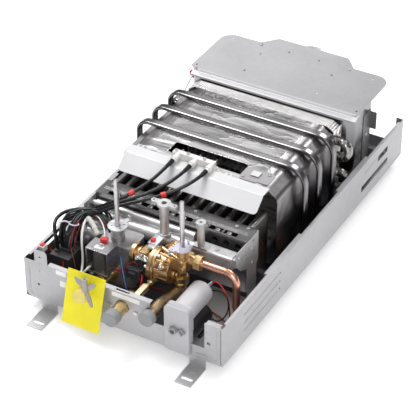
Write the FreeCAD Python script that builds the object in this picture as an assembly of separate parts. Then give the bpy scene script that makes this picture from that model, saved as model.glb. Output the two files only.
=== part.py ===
import FreeCAD, Part
import os, math
from FreeCAD import Vector as V

os.makedirs("parts", exist_ok=True)

# ---------------------------------------------------------------- driving dimensions (mm)
W = 350.0            # chassis width (X)
L = 640.0            # chassis length (Y), connection end at y = 0, flue end at y = L
HW = 73.0            # wall height of the chassis
T = 1.0              # sheet thickness
STAND = 17.5         # the chassis floor stands this far off the wall
BR_X = 132.0         # half spacing of the wall slots across
BR_Y = 32.0          # wall slots stand this far outside the chassis ends
SLOT_L, SLOT_R = 20.0, 3.2
Z_FRONT = 157.0      # front face of the combustion chamber
CH_X = 139.0         # half width of the chamber
CH_Y0, CH_Y1 = 238.0, 440.0
COIL_Y = (308.0, 357.0, 408.0)
COIL_W, COIL_T = 14.0, 6.0
FLUE_R, FLUE_Z = 60.0, 97.5
SPIN_Y = 80.0
POWER_X, FLOW_X = -53.0, 61.0
SPIN_R, SPIN_TOP = 3.8, 212.0
BAR_N, BAR_PITCH, BAR_W = 13, 20.0, 11.0
FR_Z = 122.0         # front of the burner frame
TAG_TILT = math.atan(22.8 / 85.0)

OFF = V(0, -L / 2.0, STAND)


# ---------------------------------------------------------------- helpers
def box(x0, x1, y0, y1, z0, z1):
    return Part.makeBox(x1 - x0, y1 - y0, z1 - z0, V(x0, y0, z0))


def cx(x0, x1, y, z, r):
    return Part.makeCylinder(r, x1 - x0, V(x0, y, z), V(1, 0, 0))


def cy(y0, y1, x, z, r):
    return Part.makeCylinder(r, y1 - y0, V(x, y0, z), V(0, 1, 0))


def cz(z0, z1, x, y, r):
    return Part.makeCylinder(r, z1 - z0, V(x, y, z0), V(0, 0, 1))


def ball(x, y, z, r):
    return Part.makeSphere(r, V(x, y, z))


def fuse(a, *rest):
    for b in rest:
        a = a.fuse(b)
    return a.removeSplitter()


def cut(a, *rest):
    for b in rest:
        a = a.cut(b)
    return a


def poly(pts, direction):
    w = Part.makePolygon(pts + [pts[0]])
    return Part.Face(w).extrude(direction)


def rrect_face(x0, x1, z0, z1, rad, y):
    """Rounded rectangle in the XZ plane; rad = (left-front, right-front, right-rear, left-rear)."""
    lf, rf, rr, lr = rad
    c = math.sqrt(0.5)
    e = []

    def P(x, z):
        return V(x, y, z)
    e.append(Part.LineSegment(P(x0 + lf, z1), P(x1 - rf, z1)).toShape())
    if rf > 0:
        e.append(Part.Arc(P(x1 - rf, z1), P(x1 - rf + rf * c, z1 - rf + rf * c), P(x1, z1 - rf)).toShape())
    e.append(Part.LineSegment(P(x1, z1 - rf), P(x1, z0 + rr)).toShape())
    e.append(Part.Arc(P(x1, z0 + rr), P(x1 - rr + rr * c, z0 + rr - rr * c), P(x1 - rr, z0)).toShape())
    e.append(Part.LineSegment(P(x1 - rr, z0), P(x0 + lr, z0)).toShape())
    e.append(Part.Arc(P(x0 + lr, z0), P(x0 + lr - lr * c, z0 + lr - lr * c), P(x0, z0 + lr)).toShape())
    e.append(Part.LineSegment(P(x0, z0 + lr), P(x0, z1 - lf)).toShape())
    if lf > 0:
        e.append(Part.Arc(P(x0, z1 - lf), P(x0 + lf - lf * c, z1 - lf + lf * c), P(x0 + lf, z1)).toShape())
    return Part.Face(Part.Wire(e))


def slotx(xc, yc, z0, z1, length, r):
    h = length / 2.0 - r
    return fuse(box(xc - h, xc + h, yc - r, yc + r, z0, z1), cz(z0, z1, xc - h, yc, r), cz(z0, z1, xc + h, yc, r))


def hexp(p, d, r, h):
    """Hexagonal prism, r to the corners, from p along the row axis d."""
    d = V(*d)
    if abs(d.x) > 0.5:
        u, w = V(0, 1, 0), V(0, 0, 1)
    elif abs(d.y) > 0.5:
        u, w = V(1, 0, 0), V(0, 0, 1)
    else:
        u, w = V(1, 0, 0), V(0, 1, 0)
    pts = []
    for i in range(6):
        a = math.radians(60 * i + 30)
        pts.append(V(*p) + u * (r * math.cos(a)) + w * (r * math.sin(a)))
    return poly(pts, d * h)


RADII = {}


def route(name, pts, r, frac=0.45, fixed=None):
    """Round tube along straight runs joined by tangent arcs."""
    P = [V(*p) for p in pts]
    edges = []
    cur = P[0]
    rads = []
    length = 0.0
    for i in range(1, len(P) - 1):
        a, b, c = P[i - 1], P[i], P[i + 1]
        u = (b - a)
        v = (c - b)
        s = min(u.Length, v.Length)
        u_len, v_len = u.Length, v.Length
        u.normalize()
        v.normalize()
        turn = math.acos(max(-1, min(1, u.dot(v))))
        R = frac * s / math.tan(turn / 2.0)
        if fixed:
            ru = u_len * (0.9 if i == 1 else frac)
            rv = v_len * (0.9 if i == len(P) - 2 else frac)
            R = min(min(ru, rv) / math.tan(turn / 2.0), fixed)
        t = R * math.tan(turn / 2.0)
        p1 = b - u * t
        p2 = b + v * t
        bis = (v - u)
        bis.normalize()
        cen = b + bis * (R / math.cos(turn / 2.0))
        mid = cen - bis * R
        edges.append(Part.LineSegment(cur, p1).toShape())
        edges.append(Part.Arc(p1, mid, p2).toShape())
        length += (p1 - cur).Length + R * turn
        cur = p2
        rads.append(round(R, 1))
    edges.append(Part.LineSegment(cur, P[-1]).toShape())
    length += (P[-1] - cur).Length
    wire = Part.Wire(edges)
    d = P[1] - P[0]
    circ = Part.Wire(Part.makeCircle(r, P[0], d))
    sh = wire.makePipeShell([circ], True, False)
    if not sh.isValid() or sh.Volume <= 0:
        print("route", name, "not valid")
    if sh.ShapeType != "Solid":
        sh = sh.Solids[0] if sh.Solids else Part.Solid(sh)
    want = math.pi * r * r * length
    print("route", name, "radii", rads, "length", round(length, 1), "volume ratio", round(sh.Volume / want, 4))
    RADII[name] = rads
    return sh


NODES = []


def put(name, *shapes):
    solids = []
    for s in shapes:
        solids += s.Solids
    good = [s for s in solids if s.Volume > 0.5]
    moved = []
    for s in good:
        s = s.copy()
        s.translate(OFF)
        moved.append(s)
    out = moved[0] if len(moved) == 1 else Part.makeCompound(moved)
    ok = all(s.isValid() for s in moved)
    out.exportStep("parts/%s.step" % name)
    NODES.append(name)
    print("%-22s solids %2d valid %s vol %.1f" % (name, len(moved), ok, sum(s.Volume for s in moved)))
    return shapes


# ---------------------------------------------------------------- chassis
br_rivets = []
for sx in (-1, 1):
    for xx in (124.0, 140.0):
        br_rivets.append((sx * xx, 20.0))
        br_rivets.append((sx * xx, L - 20.0))
wall_rivets = [(sx * 168.0, yy) for sx in (-1, 1) for yy in (70.0, 230.0, 400.0, 570.0)]

back = box(-W / 2, W / 2, 0, L, 0, T)
for (x, y) in br_rivets + wall_rivets:
    back = back.cut(cz(-1, 2, x, y, 2.05))
put("back_panel", back)


def side_wall(s):
    xo, xi = s * W / 2, s * (W / 2 - T)
    a, b = min(xo, xi), max(xo, xi)
    w = box(a, b, 0, L, T, HW)
    fl = box(min(xi, s * 162), max(xi, s * 162), 1.2, L - 1.2, T, 2 * T)
    lip = box(min(xi, s * 170), max(xi, s * 170), 12, L - 12, HW - T, HW)
    w = fuse(w, fl, lip)
    for (y0, y1) in ((146, 262), (394, 506)):
        w = w.fuse(box(min(xi, s * 165.5), max(xi, s * 165.5), y0, y1, HW - T, HW))
        w = w.fuse(box(min(s * 166.5, s * 165.5), max(s * 166.5, s * 165.5), y0, y1, HW - 3.5, HW))
    w = w.removeSplitter()
    # ventilation slots near the flue end
    for (y0, y1, z0, z1) in ((539, 578, 44, 55.5), (476, 580, 19.5, 31)):
        sl = box(s * 171 - 6, s * 171 + 6, y0, y1, z0, z1)
        sl = sl.makeFillet(1.5, [e for e in sl.Edges if e.BoundBox.XMax - e.BoundBox.XMin > 5])
        w = w.cut(sl)
    # slots beside the valves
    for (y0, y1, z0, z1) in ((58, 100, 55, 61), (150, 180, 55, 61)):
        if s < 0:
            r = (z1 - z0) / 2.0
            zz = (z0 + z1) / 2.0
            sl = fuse(box(s * 171 - 6, s * 171 + 6, y0 + r, y1 - r, z0, z1), cx(s * 171 - 6, s * 171 + 6, y0 + r, zz, r),
                      cx(s * 171 - 6, s * 171 + 6, y1 - r, zz, r))
            w = w.cut(sl)
    # three small holes with long pressed ribs
    for zz in (52.5, 37.0, 22.0):
        w = w.cut(cx(s * 171 - 6, s * 171 + 6, 182, zz, 2.2))
        rib = fuse(cy(66, 174, s * (W / 2 - 0.6), zz, 1.6), ball(s * (W / 2 - 0.6), 66, zz, 1.6), ball(s * (W / 2 - 0.6), 174, zz, 1.6))
        rib = rib.common(box(min(s * 174.5, s * 177), max(s * 174.5, s * 177), 50, 190, 0, 70))
        w = w.fuse(rib)
    # one long pressed bead towards the flue end
    rib = fuse(cy(488, 532, s * (W / 2 - 0.6), 53.5, 1.6), ball(s * (W / 2 - 0.6), 488, 53.5, 1.6))
    rib = rib.common(box(min(s * 174.5, s * 177), max(s * 174.5, s * 177), 470, 531, 0, 70))
    w = w.fuse(rib).removeSplitter()
    for (x, y) in wall_rivets:
        if x * s > 0:
            w = w.cut(cz(-1, 3, x, y, 2.05))
    return w


left_wall = side_wall(-1)
right_wall = side_wall(1)
put("left_side_wall", left_wall)
put("right_side_wall", right_wall)

GX, GZ = -62.0, 42.0       # gas inlet axis
HX, HZ = 2.0, 47.0         # hot stub axis
CXX, CZ = 53.0, 53.5       # cold stub axis
xi = W / 2 - T
end = box(-xi, xi, 0, T, T, HW)
end = cut(end, box(51, 78, -1, 2, 38, 90), box(78, 144, -1, 2, 24, 90), box(78, 121.3, -1, 2, 2.6, 30))
end = cut(end, cy(-1, 2, GX, GZ, 14.2), cy(-1, 2, HX, HZ, 11.6), cy(-1, 2, CXX, CZ, 10.8))
# rounded end corners where the sheet is bent round
end = fuse(end, box(-132, 51, T, 9, HW - T, HW), box(146, 169.5, T, 9, HW - T, HW))
end = fuse(end, box(-160, 160, T, 12, T, 2 * T))
ear = box(-155, -132, 0, T, HW, 97)
ear = cut(ear, box(-156, -149, -1, 2, 91, 98), box(-138, -131, -1, 2, 91, 98))
ear = fuse(ear, cy(0, T, -149, 91, 6), cy(0, T, -138, 91, 6))
ear = ear.common(box(-155, -132, 0, T, HW, 97))
end = fuse(end, ear)
for (x, z, r) in ((-145, 84, 1.8), (-146, 71, 0.9), (-147, 57, 0.9), (151, 35.7, 3.2), (145.2, 66, 1.0), (147, 57, 1.0),
                  (147, 45.6, 1.0), (-150, 30, 2.2)):
    end = end.cut(cy(-1, 2, x, z, r))
panel_screws = [(-19.5, 43), (25.5, 43)]
for (x, z) in panel_screws:
    end = end.cut(cy(-1, 2, x, z, 2.0))
end = cut(end, box(-11, 13, 3.2, 6.4, HW - T - 0.5, HW + 0.5), box(129, 150, -1, 2, 10.2, 11.0))
for sx in (-1, 1):
    end = end.cut(box(sx * 165.5 - 0.6, sx * 165.5 + 0.6, -1, 0.6, 17, 68))
    end = end.cut(poly([V(sx * 167.1, -1, 13), V(sx * 165.3, -1, 13), V(sx * 159.5, -1, 5), V(sx * 161.3, -1, 5)], V(0, 1.6, 0)))
    # the sheet's lower corner is rounded off
    end = end.cut(box(min(sx * 164, sx * 175), max(sx * 164, sx * 175), -1, T, T - 0.5, 11).cut(cy(-2, 3, sx * 164, 11, 10.0)))
put("bottom_end_panel", end)

rail = box(-xi, xi, L - T, L, T, 24)
rail = fuse(rail, box(162, xi, L - T, L, 24, HW), box(-xi, -162, L - T, L, 24, HW))
rail = fuse(rail, box(-160, 160, L - 12, L - T, T, 2 * T))
put("top_end_rail", rail)


def bracket(sx, near):
    """Z bracket: plate on the wall, upright web, flange under the chassis floor."""
    xa, xb = (118.0, 146.0) if sx > 0 else (-146.0, -118.0)
    b = box(xa, xb, -46, 1.5, -STAND, -STAND + 1.5)
    b = fuse(b, box(xa, xb, 0, 1.5, -STAND + 1.5, 0), box(xa, xb, 1.5, 32, -1.5, 0))
    xm = sx * BR_X
    b = b.cut(slotx(xm, -BR_Y, -STAND - 1, -STAND + 3, SLOT_L, SLOT_R))
    pad = slotx(xm, -14.0, -STAND + 1.4, -STAND + 2.4, 13.0, 3.0)
    b = fuse(b, pad)
    for (x, y) in br_rivets:
        if x * sx > 0 and y < 100:
            b = b.cut(cz(-3, 3, x, y, 2.05))
    if not near:
        b = b.mirror(V(0, L / 2, 0), V(0, 1, 0))
    return b


put("wall_brackets", bracket(-1, True), bracket(1, True), bracket(-1, False), bracket(1, False))

# ---------------------------------------------------------------- flue hood
PY0 = 476.5
CR = 24.0            # radius of the plate's far corners
c45 = math.sqrt(0.5)


def seg(a, b):
    return Part.LineSegment(V(a[0], a[1], 163), V(b[0], b[1], 163)).toShape()


pe = [seg((-144, PY0), (150, PY0)), seg((150, PY0), (158, PY0 + 9)), seg((158, PY0 + 9), (158, 612 - CR)),
      Part.Arc(V(158, 612 - CR, 163), V(158 - CR + CR * c45, 612 - CR + CR * c45, 163), V(158 - CR, 612, 163)).toShape(),
      seg((158 - CR, 612), (89, 612)), seg((89, 612), (67, 638)), seg((67, 638), (-67, 638)), seg((-67, 638), (-89, 612)), seg((-89, 612), (-158 + CR, 612)),
      Part.Arc(V(-158 + CR, 612, 163), V(-158 + CR - CR * c45, 612 - CR + CR * c45, 163), V(-158, 612 - CR, 163)).toShape(),
      seg((-158, 612 - CR), (-158, PY0 + 12)), seg((-158, PY0 + 12), (-144, PY0))]
plate = Part.Face(Part.Wire(pe)).extrude(V(0, 0, T))
hood_screw_pts = [(-150, 494), (150, 494), (-84, 604), (84, 604)]
hood_far_holes = [(-138, 600.5), (131.3, 596.6)]
hood_holes = [(-71.8, 577), (-31.2, 606), (-70.5, 516.6), (26.2, 606), (65.6, 574.6), (68.8, 512)]
for (x, y) in hood_screw_pts:
    plate = plate.cut(cz(160, 167, x, y, 1.65))
for (x, y) in hood_holes + hood_far_holes:
    plate = plate.cut(cz(160, 167, x, y, 1.6))
put("hood_front_plate", plate)

HY0, HY1 = 469.0, 610.0
outer = rrect_face(-152, 152, 16, 163, (0, 0, 18, 18), HY0).extrude(V(0, HY1 - HY0, 0))
inner = rrect_face(-151, 151, 17, 170, (0, 0, 17, 17), HY0 + T).extrude(V(0, HY1 - HY0 - 2 * T, 0))


def hood_plan(off, rad):
    """Plan of the hood: rounded near corners and far corners cut off towards the collar."""
    x, y0, y1 = 152.0 - off, HY0 + off, HY1 - off
    xf, ym = 92.0 - 0.4 * off, 548.0 - 0.4 * off
    e = [Part.LineSegment(V(-x + rad, y0, 0), V(x - rad, y0, 0)).toShape(),
         Part.Arc(V(x - rad, y0, 0), V(x - rad + rad * c45, y0 + rad - rad * c45, 0), V(x, y0 + rad, 0)).toShape(),
         Part.LineSegment(V(x, y0 + rad, 0), V(x, ym, 0)).toShape(), Part.LineSegment(V(x, ym, 0), V(xf, y1, 0)).toShape(),
         Part.LineSegment(V(xf, y1, 0), V(-xf, y1, 0)).toShape(), Part.LineSegment(V(-xf, y1, 0), V(-x, ym, 0)).toShape(),
         Part.LineSegment(V(-x, ym, 0), V(-x, y0 + rad, 0)).toShape(),
         Part.Arc(V(-x, y0 + rad, 0), V(-x + rad - rad * c45, y0 + rad - rad * c45, 0), V(-x + rad, y0, 0)).toShape()]
    return Part.Face(Part.Wire(e)).extrude(V(0, 0, 200))


hood = outer.common(hood_plan(0.0, 24.0)).cut(inner.common(hood_plan(T, 23.0)))
hood = cut(hood, box(-127, 127, HY0 - 1, HY0 + 2, 30, 155), cy(HY1 - 2, HY1 + 1, 0, FLUE_Z, FLUE_R - 0.55))
# narrow return flanges that the front plate screws to
for sx in (-1, 1):
    hood = hood.fuse(box(min(sx * 152, sx * 157), max(sx * 152, sx * 157), 494, 545, 162, 163))
    hood = hood.fuse(box(min(sx * 151, sx * 145), max(sx * 151, sx * 145), 494, 547, 162, 163))
hood = hood.fuse(box(-92, 92, 598, 609, 162, 163).cut(box(-58, 58, 590, 620, 155, 170)))
hood = hood.removeSplitter()
for (x, y) in hood_screw_pts:
    hood = hood.cut(cz(158, 167, x, y, 1.65))
hood = hood.cut(box(-155, -150, 494, 506, 136, 144))
hood = hood.cut(box(-165, 165, 464, 477.5, 160.6, 172))
hood_sol = hood

brace_pts = [V(-147, 483.0, 164), V(-147, 483.0, 165.2), V(-147, 475.6, 165.2), V(-147, 475.6, 164.6), V(-147, 466.4, 161.4),
             V(-147, 465.6, 158.2), V(-147, 466.7, 157.9), V(-147, 467.4, 160.6), V(-147, 476.4, 163.6), V(-147, 476.4, 164)]
brace = poly(brace_pts, V(308, 0, 0))
brace_screws = [(-142.5, 479.3), (154.5, 479.3)]
for (x, y) in brace_screws:
    brace = brace.cut(cz(160, 168, x, y, 1.65))
put("hood_brace_strip", brace)

collar = fuse(cy(598, 611.5, 0, FLUE_Z, FLUE_R - 0.6), cy(611.5, 655, 0, FLUE_Z, FLUE_R)).cut(cy(595, 656, 0, FLUE_Z, FLUE_R - 1.2))
for a in (0, 180, 250, 290):
    tab = box(-7, 7, HY1, HY1 + T, 0, 9.5)
    tab.translate(V(0, 0, FLUE_R - 1.0))
    tab.rotate(V(0, 0, 0), V(0, 1, 0), 90 - a)
    tab.translate(V(0, 0, FLUE_Z))
    collar = collar.fuse(tab)
collar = collar.removeSplitter()
put("flue_collar", collar)

sensor = fuse(cx(-158.5, -152, 500, 140, 8.5), cx(-163.5, -158.5, 500, 140, 5.5), box(-167, -163.5, 497.5, 498.5, 136, 144),
              box(-167, -163.5, 501.5, 502.5, 136, 144))
sensor = sensor.cut(box(-153, -151, 490, 510, 130, 150))
sensor = fuse(sensor, box(-153, -152, 494, 506, 136, 144))
sensor = sensor.cut(hood_sol)
put("spill_sensor", sensor)


def stay(s):
    def bx(a, b, *r):
        return box(min(s * a, s * b), max(s * a, s * b), *r)
    st = fuse(bx(152, 153, 520, 547, T, 140), bx(153, 164, 546, 547, 103, 136), bx(153, 161.5, 520, 547, T, 2 * T))
    st = fuse(st, bx(153, 161, 546, 547, 2 * T, 62))
    return st.cut(cx(min(s * 150, s * 155), max(s * 150, s * 155), 530, 100, 1.65))


stay_l, stay_r = stay(-1), stay(1)
for x in (-152, 151):
    hood_sol = hood_sol.cut(cx(x - 2, x + 3, 530, 100, 1.65))
put("hood_body", hood_sol)
put("hood_stays", stay_l, stay_r)

# ---------------------------------------------------------------- combustion chamber and exchanger
ZB = 14.0


def shell_profile(off, y):
    x, zf, zb = CH_X - off, Z_FRONT - off, ZB + off
    c = off * 0.4
    pts = [(-117 + c, zf), (117 - c, zf), (x, 143 - c), (x, zb + 10 - c), (x - 10 + c, zb), (-x + 10 - c, zb), (-x, zb + 10 - c), (-x, 143 - c)]
    return [V(a, y, b) for a, b in pts]




def rounded_prism(off, y0, y1, rad):
    b = poly(shell_profile(off, y0), V(0, y1 - y0, 0))
    ed = []
    for e in b.Edges:
        bb = e.BoundBox
        if bb.YMax - bb.YMin > 100 and bb.ZMin > 100:
            ed.append(e)
    return b.makeFillet(rad, ed)


shell = rounded_prism(0, CH_Y0, CH_Y1, 12.0).cut(rounded_prism(T, CH_Y0 - 1, CH_Y1 + 1, 11.0))
shell = shell.cut(box(-66, 65, 253, 283, Z_FRONT - 3, Z_FRONT + 3))
for x in (-100.0, 70.0):
    shell = shell.fuse(box(x, x + 30, 262, 263, T, ZB + 0.5)).fuse(box(x, x + 30, 252, 263, T, 2 * T))
shell = shell.removeSplitter()

rings = []
for yc in COIL_Y:
    o = rrect_face(-155, 155, ZB - COIL_T, Z_FRONT + COIL_T, (24, 34, 22, 22), yc - COIL_W / 2).extrude(V(0, COIL_W, 0))
    i = rrect_face(-149, 149, ZB, Z_FRONT, (18, 28, 16, 16), yc - COIL_W / 2 - 1).extrude(V(0, COIL_W + 2, 0))
    rg = o.cut(i)
    try:
        ed = []
        for e in rg.Edges:
            bb = e.BoundBox
            if bb.YMax - bb.YMin < 0.01:
                ed.append(e)
        rf = rg.makeFillet(2.7, ed)
        if rf.isValid() and rf.Volume > 0:
            rg = rf
        else:
            print("ring fillet not valid")
    except Exception as ex:
        print("ring fillet failed", ex)
    rings.append(rg)
coil = rings[0]
for rg in rings[1:]:
    coil = coil.fuse(rg)
coil = coil.fuse(box(-28, -16, COIL_Y[0] + 4, COIL_Y[1] - 4, 8.6, 13.4))
coil = coil.fuse(box(16, 28, COIL_Y[1] + 4, COIL_Y[2] - 4, 8.6, 13.4))
coil = coil.removeSplitter()

casing = poly([V(a, 440, b) for a, b in ((-124, 157), (124, 157), (136, 149), (136, 14), (-136, 14), (-136, 149))], V(0, 29, 0))
casing = casing.cut(poly([V(a, 439, b) for a, b in ((-123.6, 156), (123.6, 156), (135, 148.4), (135, 15), (-135, 15), (-135, 148.4))], V(0, 31, 0)))
EX_Y = 454.5
EX_Z = (35.0, 65.0, 95.0, 125.0)
for z in EX_Z:
    casing = casing.cut(cx(-140, 140, EX_Y, z, 8.05))
put("exchanger_casing", casing)

fins = []
for i in range(21):
    x = -120 + 12 * i
    f = box(x - 0.4, x + 0.4, 442, 467, 15.0, 156.0)
    if abs(x) > 122:
        f = box(x - 0.4, x + 0.4, 442, 467, 15.0, 150)
    for z in EX_Z:
        f = f.cut(cx(x - 1, x + 1, EX_Y, z, 8.05))
    fins.append(f)
put("exchanger_fins", *fins)


def serpentine():
    e = []

    def P(x, z, y=EX_Y):
        return V(x, y, z)
    xr, xl = 142.0, -142.0
    e.append(Part.LineSegment(P(-146, EX_Z[0]), P(xr, EX_Z[0])).toShape())
    e.append(Part.Arc(P(xr, EX_Z[0]), P(xr + 15, 50), P(xr, EX_Z[1])).toShape())
    e.append(Part.LineSegment(P(xr, EX_Z[1]), P(xl, EX_Z[1])).toShape())
    e.append(Part.Arc(P(xl, EX_Z[1]), P(xl - 15, 80), P(xl, EX_Z[2])).toShape())
    e.append(Part.LineSegment(P(xl, EX_Z[2]), P(xr, EX_Z[2])).toShape())
    e.append(Part.Arc(P(xr, EX_Z[2]), P(xr + 15, 110), P(xr, EX_Z[3])).toShape())
    e.append(Part.LineSegment(P(xr, EX_Z[3]), P(-141, EX_Z[3])).toShape())
    c = math.sqrt(0.5)
    e.append(Part.Arc(P(-141, EX_Z[3]), V(-141 - 11 * c, EX_Y - 11 + 11 * c, EX_Z[3]), V(-152, EX_Y - 11, EX_Z[3])).toShape())
    e.append(Part.LineSegment(V(-152, EX_Y - 11, EX_Z[3]), V(-152, COIL_Y[2] + COIL_W / 2, EX_Z[3])).toShape())
    w = Part.Wire(e)
    circ = Part.Wire(Part.makeCircle(8.0, P(-146, EX_Z[0]), V(1, 0, 0)))
    sh = w.makePipeShell([circ], True, False)
    return sh


serp = serpentine()
print("serpentine valid", serp.isValid(), serp.ShapeType, serp.Volume)
put("exchanger_tubes", serp)

# slanted shield below the chamber's front
sp = [V(-124, 240, 157), V(-124, 240, 158), V(-124, 218.6, 158), V(-124, 193.6, 137.0), V(-124, 194.25, 136.25), V(-124, 219.0, 157)]
shield = poly(sp, V(248, 0, 0))
shield = fuse(shield, box(-116, -104, 239, 247, 157, 158), box(44, 56, 239, 247, 157, 158))
try:
    sh2 = shield.makeFillet(7.0, [e for e in shield.Edges if e.Length < 1.2 and e.BoundBox.YMax < 196 and e.BoundBox.XMax - e.BoundBox.XMin < 0.01])
    if sh2.isValid():
        shield = sh2
    else:
        print("shield corner not valid")
except Exception as ex:
    print("shield corner", ex)
shield = cut(shield, cz(150, 160, -110, 243, 1.65), cz(150, 160, 50, 243, 1.65))
shell_holes = [(-110, 243), (50, 243)]
put("front_shield", shield)

acc = poly([V(69, 243, 157), V(66, 250, 157), V(66, 270, 157), V(72, 277, 157), V(112, 277, 157), V(117, 272, 157), V(117, 246, 157),
            V(98, 246, 157), V(95, 243, 157)], V(0, 0, 1.2))
acc = cut(acc, cz(150, 160, 72, 250, 1.65), cz(150, 160, 108, 270, 1.65))
shell_holes += [(72, 250), (108, 270)]
put("access_plate", acc)

# igniter block: three ceramic insulators held in a bracket
EB_X = (-40.0, -9.0, 20.0)
blk_base = box(-52, 26, 240.2, 252, 157, 158.4)
blk = fuse(blk_base, box(-50, 24, 241, 250, 158.4, 169))
for x in EB_X:
    blk = blk.fuse(cy(224, 241.2, x, 164.4, 4.6))
    blk = blk.fuse(cy(228, 232, x, 164.4, 6.0))
blk = blk.removeSplitter()
for x in EB_X:
    blk = blk.cut(cy(220, 260, x, 164.4, 1.25))
eb_screws = [(-45.5, 246), (-24.5, 246), (5.5, 246)]
for (x, y) in eb_screws:
    blk = blk.cut(cz(150, 175, x, y, 1.65))
put("electrode_block", blk)
elec = []
for x in EB_X:
    rod = fuse(cy(226, 259, x, 164.4, 1.2), ball(x, 259, 164.4, 1.2), cz(112, 164.4, x, 259, 1.2))
    rod = fuse(rod, ball(x, 259, 112, 1.2), cy(244, 259, x, 112, 1.2))
    elec.append(rod)
put("electrodes", *elec)
for (x, y) in shell_holes + eb_screws:
    shell = shell.cut(cz(150, 160, x, y, 1.65))
put("combustion_shell", shell)

# ---------------------------------------------------------------- burner
FY0, FY1 = 145.0, 182.0
fr = box(-134, 134, FY0, FY1, 24, FR_Z).cut(box(-133, 133, FY0 + T, FY1 + 1, 25, FR_Z - 1))
bx_x = [-BAR_PITCH * (BAR_N - 1) / 2 + BAR_PITCH * i for i in range(BAR_N)]
for x in bx_x:
    fr = fr.cut(cy(FY0 - 1, FY0 + 2, x, 107.0, 5.4))
for i in range(9):
    x = -104 + 26 * i
    fr = fr.cut(box(x - 11.2, x + 11.2, 148.5, 157.5, FR_Z - 2, FR_Z + 1))
for y in (160.0, 162.5, 165.0):
    fr = fr.fuse(cx(-128, 128, y, FR_Z, 0.55).common(box(-130, 130, 140, 180, FR_Z - 0.3, FR_Z + 2)))
fr = fr.removeSplitter()
frame_screws = [(-120, 174), (-38, 174), (30, 175), (104, 173), (122, 176)]
for (x, y) in frame_screws:
    fr = fr.cut(cz(FR_Z - 2, FR_Z + 2, x, y, 1.65))
side_screw = [(165.0, 70.0), (165.0, 96.0)]
for (y, z) in side_screw:
    fr = fr.cut(cx(-140, 140, y, z, 1.65))
put("burner_frame", fr)

bars = []
for x in bx_x:
    b = box(x - BAR_W / 2, x + BAR_W / 2, 148, 232, 25, FR_Z - 1)
    ed = []
    for e in b.Edges:
        bb = e.BoundBox
        if bb.YMax - bb.YMin > 80 and bb.ZMin > 60:
            ed.append(e)
    b = b.makeFillet(4.0, ed)
    b = b.cut(cy(147, 168, x, 107.0, 4.4))
    b = b.cut(box(x - 1.2, x + 1.2, 224, 233, 34, 112))
    bars.append(b)
put("burner_bars", *bars)

plate_m = box(60, 127, 111, 132, 84, 108)
plate_m = plate_m.makeFillet(4.0, [e for e in plate_m.Edges if (e.BoundBox.XMax - e.BoundBox.XMin) > 60 and e.BoundBox.YMax < 112 and e.BoundBox.ZMin > 100])
man = fuse(plate_m, cx(-118, 62, 122.4, 95.5, 11.3), cx(-121, -118, 122.4, 95.5, 9.5))
man = fuse(man, cx(-126, 52, 136, 107, 7.5))
man = fuse(man, box(127, 134, 114, 130, 92, 106), cx(-134, -126, 136, 107, 5.5))
man = man.cut(cx(-118, 44, 136, 107, 5.0))
for x in bx_x:
    if x < 50:
        man = man.cut(cy(136, 146, x, 107.0, 1.8))
post_r = [(72.0, 117.5)]
man = fuse(man, cz(107, 150, 72, 117.5, 6.0), cz(149, 155, 72, 117.5, 7.5), box(60, 84, 112, 123, 107, 110.5))
man = man.cut(cz(148, 160, 72, 117.5, 2.2))
man = man.cut(box(-4.2, 12.6, 100, 127.2, 98, 109))
man_screw = [(97.0, 123.0)]
for (x, y) in man_screw:
    man = man.cut(cz(100, 110, x, y, 1.65))
put("gas_manifold", man)

inj = []
for x in bx_x:
    if x < 50:
        n = fuse(cy(143.2, 146.6, x, 107.0, 3.0), cy(146.6, 150, x, 107.0, 1.8))
        n = n.cut(cx(-130, 60, 136, 107, 7.5))
        n = n.cut(cy(140, 152, x, 107.0, 0.8))
        inj.append(n)
put("injectors", *inj)


def side_bracket(s):
    pts = [(184, 119), (112.5, 119), (112.5, 96), (128, 78), (150, 68), (150, 2), (178, 2), (178, 60), (184, 64)]
    x0 = 134.0 if s > 0 else -135.2
    b = poly([V(x0, a, c) for a, c in pts], V(1.2, 0, 0))
    for (y, z, r) in ((122, 108, 2.6), (140, 108, 1.6), (152, 106, 1.6), (168, 110, 2.4), (124, 94, 2.0), (146, 88, 2.6), (158, 84, 1.8), (172, 84, 2.0)):
        b = b.cut(cx(x0 - 1, x0 + 3, y, z, r))
    for (y, z) in side_screw:
        b = b.cut(cx(x0 - 1, x0 + 3, y, z, 1.65))
    f0, f1 = (134.0, 152.0) if s > 0 else (-152.0, -134.0)
    b = fuse(b, box(f0, f1, 150, 178, T, 2.2))
    return b


put("burner_side_brackets", side_bracket(-1), side_bracket(1))

# upright post with a two-eared flange, its foot running forward as a flat arm
fp = fuse(cz(108.5, 164, 8, 117.5, 7.5), box(-4, 12.4, 86.5, 127, 98, 109))
fl = Part.makeCylinder(11.0, 4.5, V(8, 117.5, 163.5))
fl = fuse(fl, box(-10, 26, 113, 122, 163.5, 168), cz(163.5, 168, -10, 117.5, 4.5), cz(163.5, 168, 26, 117.5, 4.5))
fp = fuse(fp, fl, cz(108.5, 111.5, 8, 117.5, 9.0))
fp = cut(fp, cz(150, 170, 8, 117.5, 4.2), cz(160, 170, -10, 117.5, 1.8), cz(160, 170, 26, 117.5, 1.8))
put("feed_post", fp)

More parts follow.
